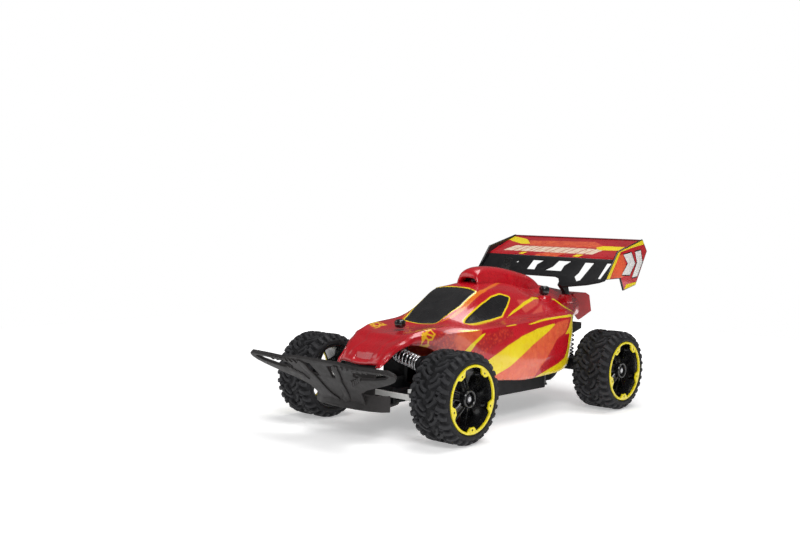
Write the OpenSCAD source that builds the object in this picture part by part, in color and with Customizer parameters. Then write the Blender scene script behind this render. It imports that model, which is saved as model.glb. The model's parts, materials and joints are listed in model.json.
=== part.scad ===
// Off-road remote control buggy, about 1:12. Front is -Y, the car's left is +X, the ground is z = 0.

/* [Overall] */
// Length from the bumper's lip to the tail
overall_l = 391; // [385:1:400]
// Distance between the axles
wheelbase = 238; // [236:1:240]
// Distance from the bumper's lip to the front axle
front_overhang = 84; // [82:1:88]

/* [Wheels] */
// Radius over the tread
tyre_r = 38; // [37:0.5:39]
// Width of a tyre
tyre_w = 40; // [39:0.5:41]
// Outer side of a tyre, from the centre plane
tyre_outer_x = 99; // [98.6:0.2:99.6]
// Outer radius of the rim's barrel
rim_r = 28.5; // [27.5:0.5:29]
// Radius of all the steel axles
axle_r = 2; // [1.8:0.1:2.2]

/* [Front suspension] */
// Half the distance between the arms' hinge pins
arm_hinge_x = 19; // [18:0.5:20]
// Height of the arms' hinge pins
arm_hinge_z = 34; // [33:0.5:35]
// Kingpin axis, from the centre plane
kingpin_x = 54; // [53.5:0.5:54.5]
// Length of the steering arms, forward from the kingpin
steer_arm_l = 19; // [18:0.5:20]
// Outer radius of the front coil springs
front_coil_r = 6.6; // [6:0.2:6.8]

/* [Rear drive] */
// Rear unit's pivot, along the car
rear_pivot_y = 78; // [77.5:0.5:79]
// Rear unit's pivot height
rear_pivot_z = 34; // [33:0.5:35]
// Tooth size of all the gears
gear_module = 0.8; // [0.8:0.1:0.8]
// Teeth on the axle gear
axle_teeth = 40; // [40:1:40]
// Teeth on the idler's small gear
idler_small_teeth = 12; // [12:1:12]
// Teeth on the idler's large gear
idler_large_teeth = 36; // [36:1:36]
// Teeth on the motor's pinion
pinion_teeth = 10; // [10:1:10]
// Radius of the motor's can
motor_r = 12; // [11:0.5:12]

/* [Body] */
// Thickness of the painted shell
shell_t = 2; // [1.5:0.1:2.4]
// Half width of the roof scoop
scoop_half_w = 13.4; // [12:0.2:13.6]
// Half span of the wing between its end plates
wing_half_span = 77.5; // [75:0.5:78]

/* [Power] */
// Radius of one battery cell
cell_r = 7.2; // [7.1:0.05:7.25]
// Length of one battery cell
cell_l = 50.5; // [50:0.1:50.5]

/* [Hidden] */
$fn = 64;
front_y = -overall_l / 2 + front_overhang;
rear_y = front_y + wheelbase;
nose_y = -overall_l / 2;
tail_y = overall_l / 2;
wheel_z = tyre_r;
tyre_inner_x = tyre_outer_x - tyre_w;
run_gap = 0.05;
seat_gap = 0.02;
screw_r = 1.3;
screw_head_r = 2.4;
screw_seat_z = 25.5;
front_screw = [12, -119];
rear_screw = [30, 62];
tray_z = 24;
tray_t = 2;
front_floor_z = 27;
front_floor_t = 2;
steer_y = front_y - steer_arm_l;
steer_pin_x = kingpin_x - 4;
rod_z = 33;
rod_h = 4;
servo_top_z = 46;
post_bore_r = 1.6;
stem_r = 1.5;
front_knob_y = -92;
rear_knob_x = 24;
rear_knob_y = 93.5;
backlash = 0.2;
pressure_angle = 20;
cell_count = 6;
cell_pitch = 2 * cell_r + 0.3;
cell_y0 = -20;
cell_z = tray_z + tray_t + cell_r + 0.6;
axle_pitch_r = gear_module * axle_teeth / 2;
small_pitch_r = gear_module * idler_small_teeth / 2;
large_pitch_r = gear_module * idler_large_teeth / 2;
pinion_pitch_r = gear_module * pinion_teeth / 2;
idler_angle = 165;
motor_angle = 120;
idler_y = rear_y + (axle_pitch_r + small_pitch_r) * cos(idler_angle);
idler_z = wheel_z + (axle_pitch_r + small_pitch_r) * sin(idler_angle);
motor_y = idler_y + (large_pitch_r + pinion_pitch_r) * cos(motor_angle);
motor_z = idler_z + (large_pitch_r + pinion_pitch_r) * sin(motor_angle);
rear_spring_x = 31;
rear_spring_y = 127;
rear_spring_z0 = 46;
rear_spring_z1 = 76;
frame_top_z = 80;
front_spring_in = [14.3, 66.5];
front_spring_out = [41, 60.4];
front_spring_d = front_spring_out - front_spring_in;
front_spring_l = norm(front_spring_d);
front_spring_tilt = atan2(-front_spring_d[1], front_spring_d[0]);
bumper_tilt = 47;
bumper_t = 4;
bumper_y0 = -155.5;
bumper_z0 = 29;
bumper_l = (bumper_y0 - nose_y - bumper_t * sin(bumper_tilt)) / cos(bumper_tilt);
wing_le = [137, 143.5];
wing_te = [184, 160];
wing_foot_y = 126;
wing_foot_z = 108;

// ---- helpers ----

// Extrudes a (y, z) outline from x0 to x1.
module slab_x(x0, x1) {
    translate([x0, 0, 0]) rotate([90, 0, 90]) linear_extrude(x1 - x0) children();
}

// Extrudes an (x, z) outline from y0 to y1.
module slab_y(y0, y1) {
    translate([0, y1, 0]) rotate([90, 0, 0]) linear_extrude(y1 - y0) children();
}

// Extrudes an (x, y) outline from z0 to z1.
module slab_z(z0, z1) {
    translate([0, 0, z0]) linear_extrude(z1 - z0) children();
}

module rod_x(x0, x1, y, z, r) {
    translate([x0, y, z]) rotate([0, 90, 0]) cylinder(h = x1 - x0, r = r);
}

module rod_y(y0, y1, x, z, r) {
    translate([x, y0, z]) rotate([-90, 0, 0]) cylinder(h = y1 - y0, r = r);
}

module rod_z(z0, z1, x, y, r) {
    translate([x, y, z0]) cylinder(h = z1 - z0, r = r);
}

module block(x0, x1, y0, y1, z0, z1) {
    translate([x0, y0, z0]) cube([x1 - x0, y1 - y0, z1 - z0]);
}

// Builds the car's left piece, or its mirror image on the right.
module handed(side) {
    if (side > 0) children();
    else mirror([1, 0, 0]) children();
}

// Repeats a piece on both sides.
module both_sides() {
    children();
    mirror([1, 0, 0]) children();
}

// A full outline from the points of its left half.
function mirrored(half) = concat(half, [for (i = [len(half) - 1:-1:0]) [-half[i][0], half[i][1]]]);

// ---- gears ----

function involute_deg(a) = tan(a) * 180 / PI - a;

function flank_angle(teeth, r) = let (
        pitch_r = gear_module * teeth / 2,
        base_r = pitch_r * cos(pressure_angle),
        half = 90 / teeth - backlash / 4 / pitch_r * 180 / PI
    )
    half + involute_deg(pressure_angle) - (r > base_r ? involute_deg(acos(base_r / r)) : 0);

function gear_outline(teeth, tip, root) = let (
        pitch_r = gear_module * teeth / 2,
        base_r = pitch_r * cos(pressure_angle),
        root_r = pitch_r - root,
        tip_r = pitch_r + tip,
        start_r = max(root_r + 0.05, base_r),
        radii = [root_r, start_r, (start_r + pitch_r) / 2 + 0.1, pitch_r + 0.15, tip_r]
    )
    [for (k = [0:teeth - 1], j = [0:9])
        let (
            r = radii[j < 5 ? j : 9 - j],
            a = k * 360 / teeth + (j < 5 ? -1 : 1) * flank_angle(teeth, r)
        )
        r * [cos(a), sin(a)]];

// A spur gear at (y, z) from x0 to x1, with a tooth pointing at the angle given.
module gear(teeth, x0, x1, y, z, tooth_at, tip = 0.5, root = 1) {
    translate([0, y, z]) slab_x(x0, x1) rotate(tooth_at) polygon(gear_outline(teeth, tip, root));
}

// ---- painted body ----

// One row per station: its place along the car, then the (x, z) points of its left half
// from the sill up to the fender or window base, the roof's edge and the centre line.
BODY = [
    [-144, [21, 57], [23, 57.5], [24, 58.5], [20, 60.5], [14, 60.5], [8, 60], [0, 59.5]],
    [-136, [24.5, 61], [25.5, 62.5], [26, 65], [23, 68.5], [15, 68], [9, 67], [0, 66.5]],
    [-127, [28, 69], [29.5, 71], [29, 74], [25, 75.5], [17, 74.5], [10, 73.5], [0, 73]],
    [-118, [31, 73.5], [33, 75.5], [31.5, 78.5], [27, 80], [19, 79], [11, 78], [0, 77.5]],
    [-111.5, [32, 74.5], [34, 77], [33.5, 82], [29, 83.5], [21, 83], [11, 82], [0, 81.9]],
    [-98, [34, 72.5], [36.5, 76], [36, 83], [33, 87], [21.5, 85], [11, 84], [0, 83.8]],
    [-88, [35, 69], [38.5, 74], [38.5, 83], [34.5, 88], [21.5, 86.5], [11, 85.3], [0, 84.9]],
    [-67, [39, 56], [43, 64], [45, 84], [36, 89.5], [21.5, 90], [11, 88.8], [0, 88]],
    [-45, [50, 43], [56, 55], [54, 86], [39.5, 90.5], [22, 101.5], [12, 101], [0, 100.8]],
    [-10, [60, 38.5], [65, 52], [60, 88], [42, 92], [24, 117.5], [12, 119.3], [0, 119.5]],
    [15, [62, 37], [66, 52], [60, 89], [43, 93.5], [25, 117], [14, 122], [0, 123.5]],
    [45, [62, 38], [66, 54], [59, 90], [44, 95], [27, 112], [15, 120], [0, 123]],
    [75, [61, 40.5], [64, 60], [58, 91], [44, 97], [29, 106.5], [16, 113], [0, 121]],
    [92, [57, 55], [59.5, 74], [57, 91], [43, 96], [30, 104], [16, 109.5], [0, 119]],
    [99, [51, 76], [55, 81], [54, 90.5], [42, 95.5], [29.5, 103.8], [16, 109.3], [0, 118]],
    [115, [40, 86], [45, 88], [46, 91], [38, 96.5], [28, 103.5], [15, 109], [0, 116.5]],
    [140, [28, 86], [31, 89], [32, 94], [28, 100], [22, 104.5], [11, 109], [0, 112.5]],
    [160, [20, 84], [22, 86], [23, 94], [21, 100], [16, 104], [8, 107.5], [0, 109.3]]
];
RING = 13;

// The thirteen points of one station, from the left sill over the roof to the right sill.
function station(row) = concat(
    [for (i = [1:7]) [row[i][0], row[0], row[i][1]]],
    [for (i = [6:-1:1]) [-row[i][0], row[0], row[i][1]]]
);

// The same station one wall thickness further in, with its sill far below.
function inner_row(row) = concat(
    [row[0], [row[1][0] - shell_t, row[1][1] - 30], [row[2][0] - shell_t, row[2][1]]],
    [[row[3][0] - shell_t, row[3][1] - shell_t]],
    [for (i = [4:7]) [max(0, row[i][0] - shell_t * 0.7), row[i][1] - shell_t]]
);

function moved_ends(rows, cut) = [for (i = [0:len(rows) - 1])
    let (dy = i == 0 ? cut : i == len(rows) - 1 ? -cut : 0)
    concat([rows[i][0] + dy], [for (j = [1:7]) rows[i][j]])];

module loft(rows) {
    n = len(rows);
    points = [for (row = rows) each station(row)];
    sides = [for (i = [0:n - 2], j = [0:RING - 1])
        let (a = i * RING + j, b = i * RING + (j + 1) % RING)
        each [[a, b, a + RING], [b, b + RING, a + RING]]];
    front = [for (j = [RING - 1:-1:0]) j];
    back = [for (j = [0:RING - 1]) (n - 1) * RING + j];
    polyhedron(points, concat([front], sides, [back]));
}

module scoop() {
    difference() {
        slab_x(-scoop_half_w, scoop_half_w)
            polygon([[-6, 118], [-5, 125.7], [11, 136.5], [31, 137.5], [94, 127.4], [112, 115], [60, 116]]);
        slab_x(-scoop_half_w + 3, scoop_half_w - 3)
            polygon([[-12, 121.5], [-9, 128], [10, 132.5], [24, 133], [24, 125]]);
    }
}

module body_shell() {
    color([0.74, 0.05, 0.07])
    difference() {
        union() {
            difference() {
                union() {
                    loft(BODY);
                    scoop();
                }
                loft(moved_ends([for (row = BODY) inner_row(row)], 3.1));
            }
            both_sides() rod_z(99, 108, rear_knob_x, rear_knob_y, 6.5);
            both_sides() block(23, 33, wing_foot_y - 5, wing_foot_y + 5, 99, wing_foot_z);
        }
        rod_z(60, 110, 0, front_knob_y, stem_r + 0.4);
        both_sides() rod_z(90, 120, rear_knob_x, rear_knob_y, stem_r + 0.4);
    }
}

module tail_box() {
    color([0.52, 0.07, 0.07])
    difference() {
        slab_x(-15.5, 15.5)
            polygon([[160, 88], [172, 78], [tail_y, 86], [191, 103], [184, 106], [160, 106]]);
        slab_x(-13.5, 13.5)
            polygon([[150, 84], [172, 72], [200, 80], [193, 88], [188, 101], [183, 104], [150, 104]]);
    }
}

// A thumb knob with its stem down into a post.
module knob(x, y, z0, z1, stem_z) {
    color([0.06, 0.06, 0.06])
    difference() {
        union() {
            rod_z(z0, z1, x, y, 5);
            rod_z(stem_z, z0 + 1, x, y, stem_r);
        }
        translate([x, y, z1 - 1]) for (a = [0:60:300])
            rotate(a) translate([5.4, 0, -4]) cylinder(h = 6, r = 1);
        block(x - 3, x + 3, y - 0.5, y + 0.5, z1 - 1, z1 + 1);
    }
}

module front_knob() { knob(0, front_knob_y, 85.8, 93.2, 66); }
module rear_knob_left() { knob(rear_knob_x, rear_knob_y, 108.3, 117, 88); }
module rear_knob_right() { knob(-rear_knob_x, rear_knob_y, 108.3, 117, 88); }

// ---- wing ----

module rear_wing() {
    color([0.74, 0.08, 0.07])
    slab_x(-wing_half_span, wing_half_span)
        polygon([wing_le, [137.5, 146], [158, 153.6], [wing_te[0], 163], [185, 161.5], [159, 151]]);
}

// The black slotted plate below the wing's front edge, on its two feet.
module wing_support() {
    lean = atan2(wing_le[1] - 124, wing_le[0] - 118);
    color([0.05, 0.05, 0.05]) {
        difference() {
            slab_x(-wing_half_span + 0.3, wing_half_span - 0.3)
                polygon([[118, 124], [137, 143.3], [141, 144.6], [120.5, 124]]);
            both_sides() for (x = [8, 36, 56])
                translate([x, 118, 124]) rotate([lean, 0, 0]) translate([0, 5, -6])
                    linear_extrude(12) polygon([[-6, 0], [3, 0], [9, 14], [0, 14]]);
        }
        both_sides() slab_x(25, 31)
            polygon([[117, 123.5], [121.5, 125.5], [130, wing_foot_z], [122, wing_foot_z]]);
    }
}

module wing_endplate(side) {
    color([0.74, 0.08, 0.07])
    handed(side) slab_x(wing_half_span + 0.1, wing_half_span + 2.6)
        polygon([[116, 125.5], [137.7, 152.7], [185.2, 164.8], [195, 152.5],
                 [179.5, 127.4], [174, 118.4], [150.7, 113.8], [144, 126]]);
}

module wing_endplate_left() { wing_endplate(1); }
module wing_endplate_right() { wing_endplate(-1); }

// ---- bumper and chassis ----

module front_bumper() {
    top = bumper_l;
    half = [[0, 0], [26, 0], [28, 14], [36, 20], [60, 30], [84, top - 12], [84, top - 5],
            [74, top - 1], [44, top - 4], [24, top], [0, top]];
    color([0.16, 0.17, 0.18])
    difference() {
        union() {
            translate([0, bumper_y0, bumper_z0]) rotate([180 - bumper_tilt, 0, 0])
                slab_z(0, bumper_t) polygon(mirrored(half));
            slab_x(-22, 22) polygon([[bumper_y0 + 1, 28], [bumper_y0 - 4, 30], [bumper_y0 - 1, tray_z],
                                     [-112, tray_z], [-112, front_floor_z], [-150, front_floor_z]]);
        }
        translate([0, bumper_y0, bumper_z0]) rotate([180 - bumper_tilt, 0, 0])
            both_sides() slab_z(-1, bumper_t + 1) {
                polygon([[50, 34], [70, 40], [66, 45], [48, 42]]);
                polygon([[8, 16], [20, 18], [24, 27], [6, 24]]);
            }
        both_sides() screw_hole(front_screw[0], front_screw[1]);
    }
}

// Plan of the tray's left half, drawn in by a wall's thickness t.
function tray_plan(t) = [
    [0, -92 - (t > 0 ? 2 : 0)], [30 - t, -92 - (t > 0 ? 2 : 0)], [33 - t, -70], [48 - t, -45], [53 - t, -30],
    [53 - t, 56], [46 - t, 68 + (t > 0 ? 3 : 0)], [0, 68 + (t > 0 ? 3 : 0)]
];

module chassis_tub() {
    bay = cell_count * cell_pitch / 2 + 1.5;
    color([0.07, 0.07, 0.08])
    difference() {
        union() {
            difference() {
                slab_z(tray_z, 40) polygon(mirrored(tray_plan(0)));
                slab_z(tray_z + tray_t, 41) polygon(mirrored(tray_plan(2)));
            }
            slab_z(tray_z, tray_z + tray_t)
                polygon(mirrored([[0, 60], [46, 60], [46, 70.5], [0, 70.5]]));
            block(-26, 26, -127.5, -90, front_floor_z, front_floor_z + front_floor_t);
            block(-28, 28, -92, -89, tray_z, front_floor_z + front_floor_t);
            both_sides() block(13, 26, -127.5, -124.5, front_floor_z, 40);
            both_sides() block(13, 26, -98, -95, front_floor_z, 40);
        }
        // opening that the battery door closes
        block(-bay, bay, cell_y0 - 2.5, cell_y0 + cell_l + 3.5, tray_z - 1, tray_z + tray_t + 1);
        // slot for the power switch
        block(-34, -26, 44, 56, tray_z - 1, tray_z + tray_t + 1);
        both_sides() rod_y(-130, -90, arm_hinge_x, arm_hinge_z, axle_r * 0.75 + seat_gap);
        both_sides() screw_hole(front_screw[0], front_screw[1]);
        both_sides() screw_hole(rear_screw[0], rear_screw[1]);
    }
}

module battery_door() {
    bay = cell_count * cell_pitch / 2 + 1.2;
    color([0.08, 0.08, 0.09])
    difference() {
        block(-bay, bay, cell_y0 - 2.2, cell_y0 + cell_l + 3.2, tray_z, tray_z + tray_t);
        for (x = [-36:12:36]) block(x - 1, x + 1, -10, 22, tray_z - 1, tray_z + 0.6);
    }
}

module batteries() {
    color([0.2, 0.25, 0.3])
    for (i = [0:cell_count - 1])
        let (x = (i - (cell_count - 1) / 2) * cell_pitch) {
            rod_y(cell_y0, cell_y0 + cell_l - 1.5, x, cell_z, cell_r);
            rod_y(cell_y0 + cell_l - 2, cell_y0 + cell_l, x, cell_z, 2.7);
        }
}

module battery_contacts() {
    color([0.75, 0.73, 0.68])
    for (i = [0:cell_count - 1])
        let (x = (i - (cell_count - 1) / 2) * cell_pitch) {
            block(x - 5, x + 5, cell_y0 - 0.6, cell_y0 - 0.1, cell_z - 5, cell_z + 6);
            block(x - 5, x + 5, cell_y0 + cell_l + 0.1, cell_y0 + cell_l + 0.6, cell_z - 5, cell_z + 6);
        }
}

module circuit_board() {
    color([0.05, 0.35, 0.18]) {
        block(-18, 32, 38, 66, 30, 31.6);
        block(0, 12, 46, 58, 31.6, 34);
        block(18, 28, 42, 48, 31.6, 36);
        both_sides() rod_z(tray_z + tray_t, 30, 15, 42, 2);
        both_sides() rod_z(tray_z + tray_t, 30, 15, 62, 2);
    }
}

module power_switch() {
    color([0.1, 0.1, 0.1])
    union() {
        block(-33, -27, 45.5, 50.5, tray_z + 0.2, 26.2);
        block(-35.5, -24.5, 43.2, 52.4, 26.2, 27.4);
    }
}

// Pan head screw whose head sits in a counterbore under the tray.
module screw(x, y) {
    rod_z(tray_z + 0.1, screw_seat_z, x, y, screw_head_r);
    rod_z(screw_seat_z, tray_z + 4.5, x, y, screw_r - seat_gap);
}

// Clearance hole and counterbore for one of the screws.
module screw_hole(x, y) {
    rod_z(tray_z - 1, 32, x, y, screw_r);
    rod_z(tray_z - 1, screw_seat_z, x, y, screw_head_r + 0.2);
}

module chassis_screws() {
    color([0.55, 0.55, 0.56]) both_sides() {
        screw(front_screw[0], front_screw[1]);
        screw(rear_screw[0], rear_screw[1]);
    }
}

// ---- steering ----

module servo_case() {
    color([0.08, 0.08, 0.08]) {
        block(-12, 12, -124, -99, front_floor_z + front_floor_t, servo_top_z);
        rod_z(servo_top_z, servo_top_z + 0.6, 0, front_y, 4);
        rod_z(servo_top_z, servo_top_z + 3.4, 0, front_y, 2);
    }
}

// The arm on the steering box, with a pin down into the rod's middle slot.
module servo_arm() {
    z0 = servo_top_z + 0.7;
    color([0.85, 0.85, 0.83])
    difference() {
        union() {
            slab_z(z0, z0 + 3) polygon([[-3, steer_y - 1], [3, steer_y - 1], [4.5, front_y], [-4.5, front_y]]);
            rod_z(z0, z0 + 3, 0, front_y, 4.5);
            rod_z(rod_z - 1.5, z0 + 1, 0, steer_y, 1.2);
        }
        rod_z(z0 - 1, z0 + 4, 0, front_y, 2 + run_gap);
    }
}

module tie_rod() {
    color([0.88, 0.88, 0.86])
    difference() {
        union() {
            block(-steer_pin_x, steer_pin_x, steer_y - 1.8, steer_y + 1.8, rod_z, rod_z + rod_h);
            both_sides() block(steer_pin_x - 4, steer_pin_x + 4, steer_y - 4.2, steer_y + 2,
                               rod_z, rod_z + rod_h);
            block(-4, 4, steer_y - 4, steer_y + 2, rod_z, rod_z + rod_h);
        }
        both_sides() block(steer_pin_x - 2.2, steer_pin_x + 2.2, steer_y - 2.8, steer_y + 3,
                           rod_z - 1, rod_z + rod_h + 1);
        block(-1.9, 1.9, steer_y - 2.6, steer_y + 3, rod_z - 1, rod_z + rod_h + 1);
    }
}

// ---- front suspension ----

// Head block that carries the springs' inner ends, its legs, and the body post behind it.
module front_tower() {
    color([0.06, 0.06, 0.06])
    difference() {
        union() {
            block(-12.5, 12.5, -98.8, -95, front_floor_z + front_floor_t, 72);
            block(-12.5, 12.5, -117, -95, 60, 72);
            rod_z(44, 80.8, 0, front_knob_y, 4.4);
            block(-4, 4, -96, front_knob_y, 44, 80);
            both_sides() translate([front_spring_in[0] - 2.2, front_y, front_spring_in[1] + 0.5])
                rotate([0, 90 + front_spring_tilt, 0]) cylinder(h = front_spring_l - 3, r = 3.4);
            both_sides() translate([front_spring_in[0] - 2.6, front_y, front_spring_in[1] + 0.6])
                rotate([0, 90 + front_spring_tilt, 0]) cylinder(h = 2.2, r = front_coil_r);
        }
        rod_z(60, 90, 0, front_knob_y, post_bore_r);
    }
}

module front_hinge_pins() {
    color([0.7, 0.7, 0.72]) both_sides() rod_y(-128.2, -94.2, arm_hinge_x, arm_hinge_z, axle_r * 0.75);
}

// Lower arm with its hub carrier and the upright that seats the spring's outer end.
module front_arm(side) {
    color([0.07, 0.07, 0.08])
    handed(side) difference() {
        union() {
            rod_y(-124.2, -98.3, arm_hinge_x, arm_hinge_z, 3.4);
            slab_z(32, 35.5) polygon([[arm_hinge_x, -123], [arm_hinge_x, -100], [47, -108.5], [47, -114.5]]);
            block(45.5, 48.8, -114.5, -108.5, 26, 50);
            slab_z(26, 28.9) polygon([[45.5, -114.5], [56, -115], [58, -111.5], [56, -108], [45.5, -108.5]]);
            slab_z(47.2, 50) polygon([[45.5, -114.5], [56, -115], [58, -111.5], [56, -108], [45.5, -108.5]]);
            slab_y(-114.5, -108.5) polygon([[45.5, 49], [48.8, 49], [46.5, 68], [42.3, 67]]);
            translate([front_spring_out[0] + 0.6, front_y, front_spring_out[1] - 0.15])
                rotate([0, 90 + front_spring_tilt, 0]) cylinder(h = 3, r = front_coil_r);
        }
        rod_y(-130, -90, arm_hinge_x, arm_hinge_z, axle_r * 0.75 + run_gap);
        rod_z(20, 60, kingpin_x, front_y, 2 + run_gap);
    }
}

module front_arm_left() { front_arm(1); }
module front_arm_right() { front_arm(-1); }

// Steering knuckle: kingpin stubs, axle boss and the arm forward to the tie rod.
module front_knuckle(side) {
    color([0.86, 0.86, 0.84])
    handed(side) difference() {
        union() {
            block(50.8, 58, -116, -107, 29.2, 46.9);
            rod_z(26.2, 49.8, kingpin_x, front_y, 2);
            rod_x(57, 61.5, front_y, wheel_z, 4.5);
            slab_z(39.2, 42.2) polygon([[51, -115], [57, -115], [steer_pin_x + 3, steer_y - 2.5],
                                        [steer_pin_x - 3, steer_y - 2.5]]);
            rod_z(rod_z - 3.5, 40, steer_pin_x, steer_y, 1.2);
        }
        rod_x(49, 63, front_y, wheel_z, axle_r + seat_gap);
    }
}

module front_knuckle_left() { front_knuckle(1); }
module front_knuckle_right() { front_knuckle(-1); }

module front_axle(side) {
    color([0.7, 0.7, 0.72]) handed(side) rod_x(50.5, 94.5, front_y, wheel_z, axle_r);
}

module front_axle_left() { front_axle(1); }
module front_axle_right() { front_axle(-1); }

// A coil as rings joined by a thin sleeve, so that it is one closed solid.
module coil(length, r, wire_r, turns, core_r) {
    difference() {
        union() {
            for (i = [0:turns - 1]) translate([0, 0, wire_r + i * (length - 2 * wire_r) / (turns - 1)])
                rotate_extrude() translate([r - wire_r, 0]) circle(r = wire_r, $fn = 16);
            cylinder(h = length, r = r - 1.5);
        }
        translate([0, 0, -1]) cylinder(h = length + 2, r = core_r);
    }
}

module front_spring(side) {
    color([0.75, 0.75, 0.77])
    handed(side) translate([front_spring_in[0], front_y, front_spring_in[1]])
        rotate([0, 90 + front_spring_tilt, 0])
            coil(front_spring_l, front_coil_r, 0.9, 7, 4.2);
}

module front_spring_left() { front_spring(1); }
module front_spring_right() { front_spring(-1); }

// ---- rear drive ----

// Arch at the tray's rear end: pivot ears, spring seats and the two rear body posts.
module rear_frame() {
    color([0.06, 0.06, 0.07])
    difference() {
        union() {
            slab_y(68, 70.5) polygon(mirrored([[0, 26], [45, 26], [42, 50], [32, 50], [28, 34], [0, 34]]));
            both_sides() block(24, 40, 57, 69, tray_z + tray_t, tray_z + tray_t + 3);
            both_sides() slab_x(38.4, 41.4)
                polygon([[68, 27], [84, 27], [86, 40], [100, 64], [136, 74], [136, frame_top_z],
                         [96, frame_top_z], [68, 52]]);
            block(-41.4, 41.4, 88, 136, frame_top_z - 2.5, frame_top_z);
            both_sides() rod_z(frame_top_z - 1, 98.6, rear_knob_x, rear_knob_y, 4);
            both_sides() rod_z(rear_spring_z1, frame_top_z - 1, rear_spring_x, rear_spring_y, 5);
            both_sides() rod_z(rear_spring_z1 - 8, frame_top_z, rear_spring_x, rear_spring_y, 3.4);
        }
        rod_x(-50, 50, rear_pivot_y, rear_pivot_z, stem_r + seat_gap);
        both_sides() rod_z(frame_top_z + 2, 100, rear_knob_x, rear_knob_y, post_bore_r);
        both_sides() screw_hole(rear_screw[0], rear_screw[1]);
    }
}

module rear_pivot_pin() {
    color([0.7, 0.7, 0.72]) rod_x(-42.5, 42.5, rear_pivot_y, rear_pivot_z, stem_r);
}

// Outline of the gearbox around its gears and motor, grown by g.
module gearbox_outline(g) {
    hull() {
        translate([rear_y, wheel_z]) circle(r = axle_pitch_r + 1.2 + g, $fn = 32);
        translate([idler_y, idler_z]) circle(r = large_pitch_r + 1 + g, $fn = 32);
    }
    hull() {
        translate([idler_y, idler_z]) circle(r = large_pitch_r + g, $fn = 32);
        translate([motor_y, motor_z]) circle(r = pinion_pitch_r + 3 + g, $fn = 32);
    }
}

module gearbox(x0, x1, arm_x0, arm_x1, cavity_x0, cavity_x1) {
    color([0.09, 0.09, 0.1])
    difference() {
        union() {
            slab_x(x0, x1) gearbox_outline(2);
            slab_x(x0, x1) polygon([[rear_pivot_y, 30], [100, 30], [100, 46], [rear_pivot_y, 38]]);
            rod_x(arm_x0, arm_x1, rear_pivot_y, rear_pivot_z, 4);
            children();
        }
        slab_x(cavity_x0, cavity_x1) gearbox_outline(0);
        rod_x(-60, 60, rear_pivot_y, rear_pivot_z, stem_r + run_gap);
        rod_x(-60, 60, rear_y, wheel_z, axle_r + 0.4);
        both_sides() rod_x(46, 60, rear_y, wheel_z, 3.5 + seat_gap);
    }
}

// Tube for half the axle, with the seat for its spring.
module axle_tube(x0) {
    seat = [rear_spring_x - 7, rear_spring_x + 7];
    rod_x(x0, 54, rear_y, wheel_z, 5.5);
    block(seat[0], seat[1], rear_spring_y - 7, rear_spring_y + 7, wheel_z + 3, rear_spring_z0);
    slab_x(seat[0], seat[1]) polygon([[118, 41], [136, 41], [133, 34], [121, 34]]);
    rod_z(rear_spring_z0 - 1, rear_spring_z0 + 6, rear_spring_x, rear_spring_y, 3.4);
}

module gearbox_left() {
    gearbox(2, 11, 2, 37.8, 1, 8.7) axle_tube(10);
}

module gearbox_right() {
    difference() {
        gearbox(-7, 1.95, -37.8, 1.95, -4.7, 3) mirror([1, 0, 0]) axle_tube(6);
        rod_x(-10, 0, motor_y, motor_z, 3.1);
    }
    color([0.09, 0.09, 0.1]) rod_x(-5, 8.5, idler_y, idler_z, stem_r);
}

module axle_bushes() {
    color([0.75, 0.6, 0.3]) both_sides() difference() {
        rod_x(46.2, 55, rear_y, wheel_z, 3.5);
        rod_x(40, 60, rear_y, wheel_z, axle_r + run_gap);
    }
}

module drive_motor() {
    color([0.72, 0.72, 0.74])
    difference() {
        union() {
            intersection() {
                rod_x(-37, -7.1, motor_y, motor_z, motor_r);
                block(-40, 0, motor_y - 15, motor_y + 15, motor_z - motor_r + 2, motor_z + motor_r - 2);
            }
            rod_x(-8, -5.2, motor_y, motor_z, 3);
        }
        rod_x(-30, 0, motor_y, motor_z, 1 + run_gap);
    }
}

module motor_pinion() {
    color([0.8, 0.68, 0.3]) {
        gear(pinion_teeth, -3.9, 0.8, motor_y, motor_z,
             motor_angle + 180 + 180 / pinion_teeth, tip = 0.5, root = 1);
        rod_x(-29, -3.8, motor_y, motor_z, 1);
    }
}

// Compound gear that turns on the pin moulded into the right gearbox half.
module idler_gear() {
    color([0.9, 0.9, 0.88])
    difference() {
        union() {
            gear(idler_small_teeth, 0.5, 8, idler_y, idler_z,
                 idler_angle + 180 + 180 / idler_small_teeth, tip = 0.6, root = 1);
            gear(idler_large_teeth, -3.6, 0.5, idler_y, idler_z, motor_angle, tip = 0.5, root = 0.9);
        }
        rod_x(-5, 9, idler_y, idler_z, stem_r + run_gap);
    }
}

module axle_gear() {
    color([0.9, 0.9, 0.88])
    difference() {
        gear(axle_teeth, 2.2, 7.4, rear_y, wheel_z, idler_angle, tip = 0.5, root = 0.9);
        rod_x(0, 10, rear_y, wheel_z, axle_r);
    }
}

module rear_axle() {
    color([0.7, 0.7, 0.72]) rod_x(-94.5, 94.5, rear_y, wheel_z, axle_r);
}

module rear_spring(side) {
    color([0.12, 0.12, 0.13])
    handed(side) translate([rear_spring_x, rear_spring_y, rear_spring_z0])
        coil(rear_spring_z1 - rear_spring_z0, 7, 0.9, 7, 4.2);
}

module rear_spring_left() { rear_spring(1); }
module rear_spring_right() { rear_spring(-1); }

// ---- wheels ----

// Half section of the tyre: x is the radius, y is the distance out from the wheel's middle.
module tyre_section() {
    half_w = tyre_w / 2;
    shoulder = 7;
    difference() {
        hull() {
            for (s = [-1, 1]) translate([tyre_r - shoulder, s * (half_w - shoulder)])
                circle(r = shoulder, $fn = 32);
            translate([rim_r + seat_gap, -half_w]) square([4, tyre_w]);
        }
        translate([0, -half_w - 1]) square([rim_r + seat_gap, tyre_w + 2]);
        translate([rim_r - 2, -half_w + 4]) square([tyre_r - 5 - rim_r, tyre_w - 8]);
    }
}

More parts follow.
